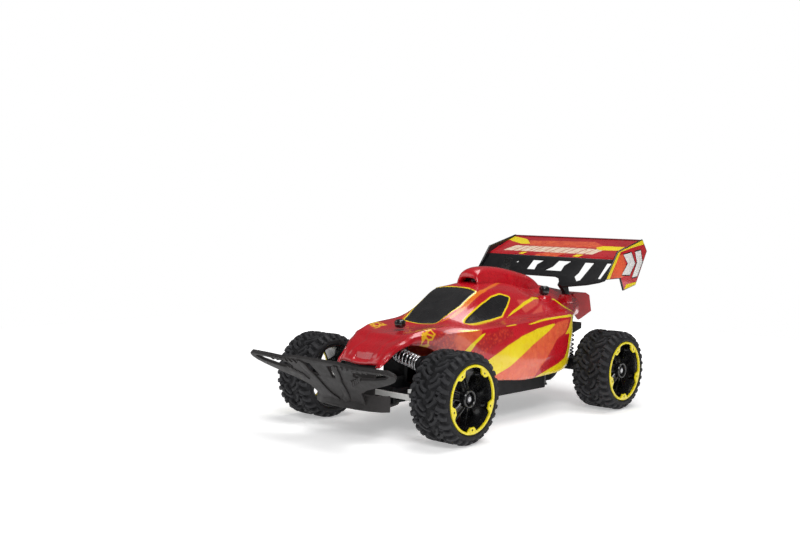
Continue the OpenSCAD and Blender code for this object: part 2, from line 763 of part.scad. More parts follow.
module tyre(y, side) {
    color([0.05, 0.05, 0.05])
    handed(side) translate([tyre_outer_x - tyre_w / 2, y, wheel_z]) rotate([0, 90, 0])
        rotate_extrude($fn = 96) tyre_section();
}

module rim(y, side) {
    barrel_out = tyre_outer_x - 2.6;
    color([0.04, 0.04, 0.04])
    handed(side) difference() {
        union() {
            difference() {
                rod_x(tyre_inner_x + 1.5, barrel_out, y, wheel_z, rim_r);
                rod_x(tyre_inner_x, barrel_out + 1, y, wheel_z, rim_r - 2.2);
            }
            rod_x(63, 91, y, wheel_z, 6.5);
            intersection() {
                rod_x(tyre_inner_x + 2, barrel_out, y, wheel_z, rim_r - 1);
                translate([0, y, wheel_z]) for (i = [0:4]) rotate([i * 72, 0, 0])
                    slab_x(80, 88) polygon([[-4, 3], [4, 3], [6.5, 29], [-6.5, 29]]);
            }
        }
        rod_x(60, 95, y, wheel_z, axle_r + run_gap);
    }
}

// Thin ring screwed on the rim's edge by five inward tabs.
module wheel_ring(y, side) {
    x0 = tyre_outer_x - 2.6;
    color([0.95, 0.8, 0.05])
    handed(side) difference() {
        union() {
            difference() {
                rod_x(x0, x0 + 2, y, wheel_z, rim_r - 0.1);
                rod_x(x0 - 1, x0 + 3, y, wheel_z, rim_r - 2.4);
            }
            translate([0, y, wheel_z]) for (i = [0:4]) rotate([i * 72 + 36, 0, 0])
                slab_x(x0, x0 + 1.6) polygon([[-4.5, 26.8], [4.5, 26.8], [2.6, 22.5], [-2.6, 22.5]]);
        }
        translate([0, y, wheel_z]) for (i = [0:4]) rotate([i * 72 + 36, 0, 0])
            rod_x(x0 - 1, x0 + 3, 0, 24.6, 0.9);
    }
}

module wheel_nut(y, side) {
    color([0.6, 0.6, 0.62])
    handed(side) difference() {
        translate([91.3, y, wheel_z]) rotate([0, 90, 0]) cylinder(h = 2.8, r = 3.6, $fn = 6);
        rod_x(90, 95, y, wheel_z, axle_r);
    }
}

module front_tyre_left() { tyre(front_y, 1); }
module front_tyre_right() { tyre(front_y, -1); }
module rear_tyre_left() { tyre(rear_y, 1); }
module rear_tyre_right() { tyre(rear_y, -1); }
module front_rim_left() { rim(front_y, 1); }
module front_rim_right() { rim(front_y, -1); }
module rear_rim_left() { rim(rear_y, 1); }
module rear_rim_right() { rim(rear_y, -1); }
module front_ring_left() { wheel_ring(front_y, 1); }
module front_ring_right() { wheel_ring(front_y, -1); }
module rear_ring_left() { wheel_ring(rear_y, 1); }
module rear_ring_right() { wheel_ring(rear_y, -1); }
module front_nut_left() { wheel_nut(front_y, 1); }
module front_nut_right() { wheel_nut(front_y, -1); }
module rear_nut_left() { wheel_nut(rear_y, 1); }
module rear_nut_right() { wheel_nut(rear_y, -1); }

body_shell();
tail_box();
front_knob();
rear_knob_left();
rear_knob_right();
rear_wing();
wing_support();
wing_endplate_left();
wing_endplate_right();
front_bumper();
chassis_tub();
battery_door();
batteries();
battery_contacts();
circuit_board();
power_switch();
chassis_screws();
servo_case();
servo_arm();
front_tower();
front_hinge_pins();
tie_rod();
front_arm_left();
front_arm_right();
front_knuckle_left();
front_knuckle_right();
front_axle_left();
front_axle_right();
front_spring_left();
front_spring_right();
rear_frame();
rear_pivot_pin();
gearbox_left();
gearbox_right();
axle_bushes();
drive_motor();
motor_pinion();
idler_gear();
axle_gear();
rear_axle();
rear_spring_left();
rear_spring_right();
front_tyre_left();
front_tyre_right();
rear_tyre_left();
rear_tyre_right();
front_rim_left();
front_rim_right();
rear_rim_left();
rear_rim_right();
front_ring_left();
front_ring_right();
rear_ring_left();
rear_ring_right();
front_nut_left();
front_nut_right();
rear_nut_left();
rear_nut_right();
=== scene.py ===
"""Looks for the off-road remote control buggy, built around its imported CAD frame.

Lengths in the tables are millimetres in the CAD frame (front is -Y, the car's left is +X, ground is z = 0).
"""
import json
import math
from math import cos, sin, radians, pi

import bmesh
import bpy
import numpy as np
from mathutils import Matrix, Vector


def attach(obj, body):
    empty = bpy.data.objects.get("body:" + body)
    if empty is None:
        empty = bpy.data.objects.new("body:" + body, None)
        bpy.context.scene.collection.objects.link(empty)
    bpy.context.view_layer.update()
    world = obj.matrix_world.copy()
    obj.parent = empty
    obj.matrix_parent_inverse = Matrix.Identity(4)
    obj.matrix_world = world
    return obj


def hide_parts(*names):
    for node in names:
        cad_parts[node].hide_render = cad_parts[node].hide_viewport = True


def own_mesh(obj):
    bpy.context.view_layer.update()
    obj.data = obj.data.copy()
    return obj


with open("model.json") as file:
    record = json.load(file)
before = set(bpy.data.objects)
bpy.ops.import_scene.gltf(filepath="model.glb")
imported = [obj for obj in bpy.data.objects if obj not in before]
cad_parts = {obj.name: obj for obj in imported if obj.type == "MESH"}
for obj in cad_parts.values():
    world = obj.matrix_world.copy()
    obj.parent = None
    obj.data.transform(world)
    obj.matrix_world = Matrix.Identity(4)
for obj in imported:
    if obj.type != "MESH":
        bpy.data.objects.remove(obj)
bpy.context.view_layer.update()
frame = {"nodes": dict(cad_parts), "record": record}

MM = 0.001
FRONT_Y = -111.5
REAR_Y = 126.5
WHEEL_Z = 38
SIDES = ((1, "left"), (-1, "right"))
REAR_KNOB = (24, 93.5)
# turns a part made round the X axis to stand along Z
UPRIGHT = Matrix.Rotation(-pi / 2, 4, "Y")


# ---- mesh helpers ----

def mesh_piece(name, points, faces, material, smooth_deg=38):
    """A new object from points in millimetres."""
    mesh = bpy.data.meshes.new(name)
    mesh.from_pydata([Vector(p) * MM for p in points], [], faces)
    mesh.validate()
    tidy = bmesh.new()
    tidy.from_mesh(mesh)
    bmesh.ops.recalc_face_normals(tidy, faces=tidy.faces)
    tidy.to_mesh(mesh)
    tidy.free()
    return shaded(bpy.data.objects.new(name, mesh), material, smooth_deg)


def shaded(obj, material, smooth_deg=38):
    """Links the object, gives it its material and rounds its shading below an angle."""
    if obj.name not in bpy.context.scene.collection.objects:
        bpy.context.scene.collection.objects.link(obj)
    obj.data.materials.clear()
    obj.data.materials.append(material)
    obj.data.shade_smooth()
    obj.data.set_sharp_from_angle(angle=radians(smooth_deg))
    return obj


def bevelled(obj, width, segments=2, angle=30):
    """Rounds the sharp edges."""
    bevel = obj.modifiers.new("edges", "BEVEL")
    bevel.width = width * MM
    bevel.segments = segments
    bevel.limit_method = "ANGLE"
    bevel.angle_limit = radians(angle)
    bevel.use_clamp_overlap = True
    return obj


def applied(obj):
    """Turns the object's modifiers or curve into its mesh."""
    bpy.context.view_layer.update()
    graph = bpy.context.evaluated_depsgraph_get()
    mesh = bpy.data.meshes.new_from_object(obj.evaluated_get(graph))
    if obj.type == "MESH":
        obj.modifiers.clear()
        obj.data = mesh
        return obj
    name = obj.name
    bpy.data.objects.remove(obj)
    return bpy.data.objects.new(name, mesh)


def joined(name, pieces):
    """One object from several; each piece keeps its own material."""
    mesh = bpy.data.meshes.new(name)
    out = bmesh.new()
    materials = []
    for piece in pieces:
        part = bmesh.new()
        part.from_mesh(applied(piece).data)
        part.transform(piece.matrix_world)
        for face in part.faces:
            mat = piece.data.materials[face.material_index]
            if mat not in materials:
                materials.append(mat)
            face.material_index = materials.index(mat)
        copy = bpy.data.meshes.new("copy")
        part.to_mesh(copy)
        part.free()
        out.from_mesh(copy)
        bpy.data.meshes.remove(copy)
        bpy.data.objects.remove(piece)
    out.to_mesh(mesh)
    out.free()
    for mat in materials:
        mesh.materials.append(mat)
    obj = bpy.data.objects.new(name, mesh)
    bpy.context.scene.collection.objects.link(obj)
    return obj


def settle(obj, body, slot, *nodes):
    """Rides a finished piece on its body and hides the CAD nodes that it stands for; its slot is not used."""
    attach(obj, body)
    if nodes:
        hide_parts(*nodes)
    return obj


def rings_mesh(rings, closed_ends=True, wrap=True):
    """Points and faces of a skin over rings of equal length."""
    n = len(rings[0])
    points = [p for ring in rings for p in ring]
    faces = []
    for i in range(len(rings) - 1):
        for j in range(n if wrap else n - 1):
            k = (j + 1) % n
            faces.append((i * n + j, i * n + k, (i + 1) * n + k, (i + 1) * n + j))
    if closed_ends:
        faces.append(tuple(reversed(range(n))))
        faces.append(tuple((len(rings) - 1) * n + j for j in range(n)))
    return points, faces


def revolved(name, profile, material, segments=96, closed=True, smooth_deg=30):
    """Turns a list of (x, radius) points about the X axis."""
    rings = []
    for x, r in profile + (profile[:1] if closed else []):
        rings.append([(x, r * cos(a), r * sin(a)) for a in
                      [2 * pi * k / segments for k in range(segments)]])
    points, faces = rings_mesh(rings, closed_ends=False)
    obj = mesh_piece(name, points, faces, material, smooth_deg)
    weld(obj)
    return obj


def weld(obj, distance=0.01):
    """Merges points that lie together."""
    work = bmesh.new()
    work.from_mesh(obj.data)
    bmesh.ops.remove_doubles(work, verts=work.verts, dist=distance * MM)
    bmesh.ops.recalc_face_normals(work, faces=work.faces)
    work.to_mesh(obj.data)
    work.free()
    return obj


def plate(name, outlines, thickness, round_edge, material, place=None, smooth_deg=38):
    """A flat plate with rounded edges, from z = 0 up. Outlines after the first are its holes."""
    curve = bpy.data.curves.new(name, "CURVE")
    curve.dimensions = "2D"
    curve.fill_mode = "BOTH"
    curve.extrude = (thickness / 2 - round_edge) * MM
    curve.bevel_depth = round_edge * MM
    curve.offset = -round_edge * MM
    curve.bevel_resolution = 2
    for outline in outlines:
        spline = curve.splines.new("POLY")
        spline.points.add(len(outline) - 1)
        for point, (x, y) in zip(spline.points, outline):
            point.co = (x * MM, y * MM, 0, 1)
        spline.use_cyclic_u = True
    holder = bpy.data.objects.new(name + "_curve", curve)
    bpy.context.scene.collection.objects.link(holder)
    obj = applied(holder)
    obj.name = name
    obj.data.transform(Matrix.Translation((0, 0, thickness / 2 * MM)))
    if place is not None:
        obj.data.transform(place)
    weld(obj)
    return shaded(obj, material, smooth_deg)


def smooth_outline(points, steps=6):
    """A closed Catmull-Rom curve through a few points."""
    out, n = [], len(points)
    for i in range(n):
        p0, p1, p2, p3 = (np.array(points[(i + k) % n], float) for k in (-1, 0, 1, 2))
        for t in [k / steps for k in range(steps)]:
            out.append(tuple(0.5 * (2 * p1 + (p2 - p0) * t + (2 * p0 - 5 * p1 + 4 * p2 - p3) * t ** 2
                                    + (3 * p1 - p0 - 3 * p2 + p3) * t ** 3)))
    return out


def facing_x(x, side=1):
    """Stands a plate up in the (y, z) plane at x, its thickness growing outwards."""
    return Matrix(((0, 0, side, side * x * MM), (1, 0, 0, 0), (0, 1, 0, 0), (0, 0, 0, 1)))


def raised(z):
    return Matrix.Translation((0, 0, z * MM))


def circle(x, y, r, n=24):
    return [(x + r * cos(2 * pi * k / n), y + r * sin(2 * pi * k / n)) for k in range(n)]


def mirrored(half):
    """A whole outline from the points of its half with x above 0."""
    return list(half) + [(-x, y) for x, y in reversed(half) if x > 0]


def tube(name, path, radius, material, sides=12):
    """A round bar along a path of points in millimetres."""
    path = [Vector(p) for p in path]
    rings = []
    side = None
    for i, p in enumerate(path):
        ahead = (path[min(i + 1, len(path) - 1)] - path[max(i - 1, 0)]).normalized()
        if side is None:
            side = ahead.orthogonal().normalized()
        side = (side - ahead * side.dot(ahead)).normalized()
        other = ahead.cross(side)
        rings.append([p + (side * cos(2 * pi * k / sides) + other * sin(2 * pi * k / sides)) * radius
                      for k in range(sides)])
    points, faces = rings_mesh(rings)
    return mesh_piece(name, points, faces, material, 50)


# ---- material helpers ----

class Nodes:
    """A short way to build one material's nodes."""

    def __init__(self, name):
        self.material = bpy.data.materials.new(name)
        self.material.use_nodes = True
        self.tree = self.material.node_tree
        self.shader = self.tree.nodes["Principled BSDF"]
        self.place = self.tree.nodes.new("ShaderNodeTexCoord").outputs["Object"]

    def put(self, target, value):
        if isinstance(value, bpy.types.NodeSocket):
            self.tree.links.new(value, target)
        elif value is not None:
            target.default_value = value

    def noise(self, size_mm, detail=3, rough=0.5, at=None):
        node = self.tree.nodes.new("ShaderNodeTexNoise")
        node.inputs["Scale"].default_value = 1 / (size_mm * MM)
        node.inputs["Detail"].default_value = detail
        node.inputs["Roughness"].default_value = rough
        self.put(node.inputs["Vector"], at or self.place)
        return node.outputs["Fac"]

    def cells(self, size_mm, feature="F1", output="Distance", at=None):
        node = self.tree.nodes.new("ShaderNodeTexVoronoi")
        node.feature = feature
        node.inputs["Scale"].default_value = 1 / (size_mm * MM)
        self.put(node.inputs["Vector"], at or self.place)
        return node.outputs[output]

    def math(self, operation, a, b=None, clamp=False):
        node = self.tree.nodes.new("ShaderNodeMath")
        node.operation = operation
        node.use_clamp = clamp
        self.put(node.inputs[0], a)
        self.put(node.inputs[1], b)
        return node.outputs[0]

    def fit(self, value, lo, hi, to_lo, to_hi):
        node = self.tree.nodes.new("ShaderNodeMapRange")
        for socket, v in zip(node.inputs, (value, lo, hi, to_lo, to_hi)):
            self.put(socket, v)
        return node.outputs[0]

    def mix(self, amount, a, b):
        node = self.tree.nodes.new("ShaderNodeMix")
        node.data_type = "RGBA"
        self.put(node.inputs["Factor"], amount)
        for socket, v in ((node.inputs[6], a), (node.inputs[7], b)):
            self.put(socket, v if isinstance(v, bpy.types.NodeSocket) else (*v, 1))
        return node.outputs[2]

    def attribute(self, name):
        node = self.tree.nodes.new("ShaderNodeAttribute")
        node.attribute_name = name
        return node.outputs["Fac"]

    def pointiness(self):
        return self.tree.nodes.new("ShaderNodeNewGeometry").outputs["Pointiness"]

    def bump(self, height, depth_mm, strength=1.0, before=None):
        node = self.tree.nodes.new("ShaderNodeBump")
        node.inputs["Strength"].default_value = strength
        node.inputs["Distance"].default_value = depth_mm * MM
        self.put(node.inputs["Height"], height)
        self.put(node.inputs["Normal"], before)
        return node.outputs[0]

    def finish(self, colour, roughness, normal=None, metallic=0.0, coat=0.0, coat_rough=0.05, ior=1.5):
        self.put(self.shader.inputs["Base Color"], colour if isinstance(colour, bpy.types.NodeSocket)
                 else (*colour, 1))
        self.put(self.shader.inputs["Roughness"], roughness)
        self.put(self.shader.inputs["Normal"], normal)
        self.shader.inputs["Metallic"].default_value = metallic
        self.shader.inputs["Coat Weight"].default_value = coat
        self.shader.inputs["Coat Roughness"].default_value = coat_rough
        self.shader.inputs["IOR"].default_value = ior
        return self.material


def shade(colour, factor):
    return tuple(min(1.0, c * factor) for c in colour)


def moulded(name, colour, roughness, grain_mm=0.5, grain_depth=0.02, patch=0.12, coat=0.0, metallic=0.0,
            painted_edge_highlight=0.0, ior=1.5):
    """Moulded plastic or plain metal: fine grain, slow patches of tone, and sharp edges lightened as a
    painted highlight.
    """
    n = Nodes(name)
    patches = n.noise(22, 3)
    tone = n.mix(n.fit(patches, 0.3, 0.7, 0, 1), shade(colour, 1 - patch), shade(colour, 1 + patch))
    speck = n.noise(grain_mm * 2.5, 2)
    tone = n.mix(n.fit(speck, 0.35, 0.65, 0, 0.35), tone, shade(colour, 1 + 1.5 * patch))
    # painted highlight: sharp edges found by pointiness are lightened
    if painted_edge_highlight:
        sharp_edges = n.fit(n.pointiness(), 0.52, 0.6, 0, painted_edge_highlight)
        tone = n.mix(sharp_edges, tone, shade(colour, 2.6))
    rough = n.fit(n.noise(6, 4), 0.3, 0.7, roughness - 0.06, roughness + 0.08)
    relief = n.bump(n.noise(grain_mm, 3), grain_depth)
    return n.finish(tone, rough, relief, metallic, coat, ior=ior)


def tyre_rubber():
    """Matt black rubber with dull grey lug edges and faint flow marks."""
    n = Nodes("tyre_rubber")
    base = n.mix(n.fit(n.noise(14, 4), 0.35, 0.7, 0, 1), (0.008, 0.008, 0.009), (0.019, 0.019, 0.021))
    sharp_edges = n.fit(n.pointiness(), 0.5, 0.62, 0, 0.8)
    tone = n.mix(sharp_edges, base, (0.05, 0.05, 0.054))
    rough = n.fit(n.noise(3, 4), 0.3, 0.7, 0.5, 0.68)
    relief = n.bump(n.noise(0.7, 4), 0.05)
    relief = n.bump(n.noise(5, 3), 0.12, before=relief)
    return n.finish(tone, rough, relief, ior=1.28)


def gloss_black(name="gloss_black", roughness=0.16):
    """Bright black moulding with slight ripple and fine hairline scuffs."""
    n = Nodes(name)
    tone = n.mix(n.fit(n.noise(9, 4), 0.35, 0.7, 0, 1), (0.006, 0.006, 0.007), (0.013, 0.013, 0.014))
    rough = n.fit(n.noise(2.5, 5), 0.35, 0.75, roughness, roughness + 0.14)
    relief = n.bump(n.noise(7, 2), 0.03)
    return n.finish(tone, rough, relief, coat=0.35)


def ring_yellow():
    """Lemon yellow moulding with a slow change of tone."""
    n = Nodes("ring_yellow")
    tone = n.mix(n.fit(n.noise(8, 3), 0.3, 0.7, 0, 1), (0.86, 0.69, 0.004), (0.95, 0.82, 0.012))
    rough = n.fit(n.noise(2, 4), 0.3, 0.7, 0.24, 0.38)
    return n.finish(tone, rough, n.bump(n.noise(0.8, 3), 0.01), coat=0.3)


def wire_metal(name, colour, roughness, stretch_mm=0.25):
    """Drawn or turned metal: fine hairlines and a slow change of tone."""
    n = Nodes(name)
    tone = n.mix(n.fit(n.noise(5, 3), 0.3, 0.7, 0, 1), shade(colour, 0.82), shade(colour, 1.08))
    rough = n.fit(n.noise(stretch_mm * 4, 4), 0.3, 0.7, roughness - 0.06, roughness + 0.12)
    return n.finish(tone, rough, n.bump(n.noise(stretch_mm, 3), 0.008), metallic=1.0)


def cell_wrap():
    """Printed foil wrap of a dry cell: dark blue with a paler band at one end."""
    n = Nodes("cell_wrap")
    split = n.tree.nodes.new("ShaderNodeSeparateXYZ")
    n.put(split.inputs[0], n.place)
    band = n.math("GREATER_THAN", split.outputs["Y"], 0.018)
    tone = n.mix(band, (0.02, 0.05, 0.13), (0.55, 0.42, 0.12))
    tone = n.mix(n.fit(n.noise(3, 3), 0.4, 0.7, 0, 0.25), tone, (0.1, 0.14, 0.22))
    return n.finish(tone, n.fit(n.noise(1.5, 3), 0.3, 0.7, 0.25, 0.4), n.bump(n.noise(1, 2), 0.02), coat=0.2)


def board_green():
    """Solder mask with faint tracks under it."""
    n = Nodes("board_green")
    tracks = n.math("LESS_THAN", n.cells(2.2, "DISTANCE_TO_EDGE"), 0.08)
    tone = n.mix(tracks, (0.008, 0.11, 0.045), (0.02, 0.2, 0.08))
    return n.finish(tone, n.fit(n.noise(2, 3), 0.3, 0.7, 0.3, 0.45), n.bump(tracks, 0.04))


MAT = {
    "tyre_rubber": tyre_rubber(),
    "rim_black": gloss_black("rim_black", 0.2),
    "gloss_black": gloss_black(),
    "ring_yellow": ring_yellow(),
    "steel": wire_metal("steel", (0.56, 0.56, 0.57), 0.32),
    "black_steel": wire_metal("black_steel", (0.07, 0.07, 0.075), 0.42),
    "spring_steel": wire_metal("spring_steel", (0.78, 0.78, 0.8), 0.2),
    "spring_black": moulded("spring_black", (0.02, 0.02, 0.022), 0.35, coat=0.2),
    # a darker, browner copy of the body's red with less coat, for the tail box: painted shade
    "tail_red": moulded("tail_red", (0.5, 0.014, 0.018), 0.36, 1.5, 0.02, 0.2, coat=0.12),
    "bumper_grey": moulded("bumper_grey", (0.022, 0.02, 0.02), 0.5, 0.55, 0.09, 0.22, painted_edge_highlight=0.4,
                           ior=1.33),
    "chassis_black": moulded("chassis_black", (0.007, 0.007, 0.008), 0.5, 0.6, 0.05, 0.25, painted_edge_highlight=0.4,
                             ior=1.3),
    "white_plastic": moulded("white_plastic", (0.8, 0.8, 0.78), 0.42, 0.6, 0.03, 0.05),
    "contact_metal": wire_metal("contact_metal", (0.72, 0.7, 0.66), 0.28),
    "brass": wire_metal("brass", (0.72, 0.5, 0.2), 0.3),
    "cell_wrap": cell_wrap(),
    "board_green": board_green(),
}


# ---- stage, lights and camera ----

def stage():
    """White floor and world, and soft lamps."""
    scene = bpy.context.scene
    scene.view_settings.view_transform = "Standard"
    world = bpy.data.worlds.new("studio")
    scene.world = world
    world.use_nodes = True
    tree = world.node_tree
    shown = tree.nodes["Background"]
    lighting = tree.nodes.new("ShaderNodeBackground")
    lighting.inputs["Color"].default_value = (1, 1, 1, 1)
    lighting.inputs["Strength"].default_value = 0.12
    shown.inputs["Color"].default_value = (1, 1, 1, 1)
    swap = tree.nodes.new("ShaderNodeMixShader")
    path = tree.nodes.new("ShaderNodeLightPath")
    tree.links.new(path.outputs["Is Camera Ray"], swap.inputs[0])
    tree.links.new(lighting.outputs[0], swap.inputs[1])
    tree.links.new(shown.outputs[0], swap.inputs[2])
    tree.links.new(swap.outputs[0], tree.nodes["World Output"].inputs["Surface"])
    n = Nodes("floor")
    n.finish(n.mix(n.noise(40, 3), (0.9, 0.9, 0.9), (0.92, 0.92, 0.92)), 0.9)
    away = n.tree.nodes.new("ShaderNodeVectorMath")
    away.operation = "LENGTH"
    n.put(away.inputs[0], n.place)
    n.shader.inputs["Emission Color"].default_value = (1, 1, 1, 1)
    n.put(n.shader.inputs["Emission Strength"], n.fit(away.outputs["Value"], 0.3, 0.7, 0.4, 1.0))
    reach = 850
    corners = [(i * reach, j * reach, 0) for i, j in ((-1, -1), (1, -1), (1, 1), (-1, 1))]
    floor = mesh_piece("floor", corners, [(0, 1, 2, 3)], n.material)
    lamps = (("key", (650, -600, 750), 0.45, 5.0), ("fill", (-700, -500, 500), 0.6, 1.3),
             ("top", (50, 200, 950), 0.6, 5.6))
    for name, at, size, power in lamps:
        light = bpy.data.lights.new(name, "AREA")
        light.size = size
        light.energy = power
        lamp = bpy.data.objects.new(name, light)
        lamp.location = Vector(at) * MM
        lamp.rotation_euler = (Vector((0, 0, 50)) * MM - lamp.location).to_track_quat("-Z", "Y").to_euler()
        scene.collection.objects.link(lamp)


def camera():
    """The photograph's point of view: ahead, to the car's left, a little above the floor."""
    azimuth, elevation, roll = radians(41.97), radians(3.06), radians(1.31)
    back = Vector((sin(azimuth) * cos(elevation), -cos(azimuth) * cos(elevation), sin(elevation)))
    level = Vector((0, 0, 1)).cross(back).normalized()
    upright = back.cross(level)
    right = level * cos(roll) + upright * sin(roll)
    up = upright * cos(roll) - level * sin(roll)
    data = bpy.data.cameras.new("camera")
    data.lens = 47.68
    data.sensor_width = 36
    data.clip_start = 0.01
    eye = bpy.data.objects.new("camera", data)
    eye.matrix_world = Matrix((
        (right.x, up.x, back.x, 616.5 * MM),
        (right.y, up.y, back.y, -779.2 * MM),
        (right.z, up.z, back.z, 188.9 * MM),
        (0, 0, 0, 1)))
    bpy.context.scene.collection.objects.link(eye)
    bpy.context.scene.camera = eye


stage()
camera()


# ---- wheels ----

TYRE_MID_X = 79
TYRE_HALF_W = 20
TYRE_R = 38
SHOULDER = 7
RIM_R = 28.5
PITCHES = 15
RING_X = 96.4
SCREW_R = 24.6


def tread_point(s, angle, height, side):
    """A point over the tread: s runs across it from the middle, height is above the lugs' tops."""
    flat = TYRE_HALF_W - SHOULDER
    over = max(0.0, abs(s) - flat) / SHOULDER
    x = min(abs(s), flat) + (SHOULDER + height) * sin(over)
    r = TYRE_R - SHOULDER + (SHOULDER + height) * cos(over)
    x = math.copysign(x, s) * side
    return (x, r * sin(angle), r * cos(angle))


def lug(path, half_w, side, base_angle, deep=2.6):
    """One bar of tread along a path of (s, u) points, with sloping sides and a soft top edge."""
    fine = []
    for (s0, u0), (s1, u1) in zip(path, path[1:]):
        steps = max(2, int(math.hypot(s1 - s0, u1 - u0) / 2.2))
        fine += [(s0 + (s1 - s0) * k / steps, u0 + (u1 - u0) * k / steps) for k in range(steps)]
    fine.append(path[-1])
    rings = []
    for grow, height in ((0.7, -deep), (0.0, -0.45), (-0.45, 0.0)):
        left, right = [], []
        for i, (s, u) in enumerate(fine):
            s0, u0 = fine[max(i - 1, 0)]
            s1, u1 = fine[min(i + 1, len(fine) - 1)]
            length = math.hypot(s1 - s0, u1 - u0)
            ds, du = (s1 - s0) / length, (u1 - u0) / length
            push = grow * (-1 if i == 0 else 1 if i == len(fine) - 1 else 0)
            s, u = s + ds * push, u + du * push
            w = half_w + grow
            left.append((s - du * w, u + ds * w))
            right.append((s + du * w, u - ds * w))
        outline = left + right[::-1]
        rings.append([tread_point(s, base_angle + u / TYRE_R, height, side) for s, u in outline])
    points, faces = rings_mesh(rings, closed_ends=False)
    n, top = len(rings[0]), 2 * len(rings[0])
    half = n // 2
    faces += [(top + i, top + i + 1, top + n - 2 - i, top + n - 1 - i) for i in range(half - 1)]
    return points, faces


def hook_lugs():
    """One pitch of the tread: hooked bars in the middle and paired bars over the shoulder."""
    pitch = 2 * pi * TYRE_R / PITCHES
    right = [([(1.6, 0.6), (5.6, 2.2), (9.3, 5.4), (10.0, 9.2)], 1.35),
             ([(1.7, 5.0), (4.2, 6.6), (6.6, 9.6), (6.9, 13.2)], 1.2),
             ([(11.4, 1.2), (15, -0.4), (19, -1.4), (22.4, -1.4)], 1.9),
             ([(12.4, 9.6), (16, 7.4), (20.4, 6.6)], 1.7),
             ([(10.4, 13.2), (13.6, 12.6)], 0.9)]
    left = [([(-s, u + pitch / 2) for s, u in path], w) for path, w in right]
    return right + left


def tyre_mesh(side):
    """Carcass with a rounded floor under the lugs, beads, and the lugs all round."""
    pieces = []
    profile = []
    reach = TYRE_HALF_W - SHOULDER + SHOULDER * pi / 2
    for k in range(-24, 25):
        s = k / 24 * reach
        drop = -2.5 + 2.0 * min(1.0, max(0.0, abs(s) - 18) / 5)
        x, _, r = tread_point(s, 0, drop, 1)
        profile.append((x, r))
    bead = [(TYRE_HALF_W - 0.3, 30.2), (TYRE_HALF_W - 0.9, 29.3), (TYRE_HALF_W - 1.6, RIM_R + 0.05),
            (TYRE_HALF_W - 4, RIM_R + 0.02)]
    profile = ([(-x, r) for x, r in reversed(bead)] + profile + bead)
    body = revolved("carcass", profile, MAT["tyre_rubber"], 90, smooth_deg=40)
    pieces.append(body)
    points, faces = [], []
    for k in range(PITCHES):
        for path, w in hook_lugs():
            p, f = lug(path, w, side, 2 * pi * k / PITCHES)
            faces += [tuple(i + len(points) for i in face) for face in f]
            points += p
    pieces.append(mesh_piece("lugs", points, faces, MAT["tyre_rubber"], 30))
    return joined("tyre", pieces)


def spoke(angle):
    """A hollow faceted spoke from the hub down to the barrel: two ridges with a trough between them."""
    rings = []
    for r, w, top, thick in ((5.5, 4.0, 91.5, 7), (9.5, 4.3, 90.6, 7), (15, 5.0, 88.2, 6.5),
                             (21, 6.2, 85.4, 6),
                             (25, 7.6, 83.8, 6), (27.3, 8.6, 83.4, 6)):
        trough = top - (0.6 if r < 9 else 2.6)
        ridge = 1.7
        section = [(-w, top - thick), (-w, top - 1.2), (-w + 0.8, top), (-w + ridge, top),
                   (-w + ridge + 1, trough), (w - ridge - 1, trough), (w - ridge, top), (w - 0.8, top),
                   (w, top - 1.2), (w, top - thick)]
        rings.append([(x, t * cos(angle) + r * sin(angle), r * cos(angle) - t * sin(angle))
                      for t, x in section])
    return rings_mesh(rings)


def rim_mesh():
    """Deep black wheel: stepped barrel, five faceted spokes, recessed hub and five ring screws."""
    mat = MAT["rim_black"]
    barrel = [(60.8, 28.3), (96.3, 28.4), (96.3, 26.9), (94.8, 26.6), (93.6, 26.0), (86, 25.6), (80, 25.9),
              (62, 26.2), (60.8, 27)]
    hub = [(63, 2.2), (63, 6.4), (88, 6.6), (90, 7.4), (94.6, 7.4), (95.4, 6.9), (95.4, 6.2), (94.8, 5.7),
           (91.4, 5.2), (91, 4.8), (91, 2.2)]
    pieces = [revolved("barrel", barrel, mat, 90), revolved("hub", hub, mat, 48)]
    points, faces = [], []
    for k in range(5):
        p, f = spoke(2 * pi * k / 5)
        faces += [tuple(i + len(points) for i in face) for face in f]
        points += p
    pieces.append(bevelled(mesh_piece("spokes", points, faces, mat, 20), 0.25))
    for k in range(5):
        a = 2 * pi * k / 5 + pi / 5
        boss = revolved("boss", [(90, 2.9), (96.3, 2.5), (96.3, 0.9), (90, 0.9)], mat, 16)
        screw = revolved("screw", [(94, 0.8), (97.4, 0.8), (97.4, 1.5), (98.0, 1.3), (98.0, 0.55),
                                   (97.5, 0.5), (97.5, 0.01), (94, 0.01)], MAT["black_steel"], 16)
        for piece in (boss, screw):
            piece.matrix_world = Matrix.Translation(Vector((0, SCREW_R * sin(a), SCREW_R * cos(a))) * MM)
            pieces.append(piece)
    return joined("rim", pieces)


def ring_mesh():
    """Thin yellow ring with five bell-shaped tabs, each with a screw hole."""
    inner = []
    for k in range(180):
        a = 2 * pi * k / 180
        off = abs((math.degrees(a) + 36) % 72 - 36)
        off = abs(36 - off)
        t = min(1.0, max(0.0, (13.5 - off) / 7.5))
        r = 26.3 - 3.9 * t * t * (3 - 2 * t)
        inner.append((r * sin(a), r * cos(a)))
    tabs = [pi / 5 + 2 * pi * k / 5 for k in range(5)]
    holes = [circle(SCREW_R * sin(a), SCREW_R * cos(a), 0.9, 14) for a in tabs]
    return plate("ring", [circle(0, 0, 28.4, 120), inner] + holes, 2.0, 0.45, MAT["ring_yellow"],
                 facing_x(RING_X))


def one_sided(mesh, side):
    """The left wheel's mesh, or its mirror image for the right."""
    if side > 0:
        return mesh
    copy = mesh.copy()
    copy.transform(Matrix.Diagonal((-1, 1, 1, 1)))
    copy.flip_normals()
    return copy


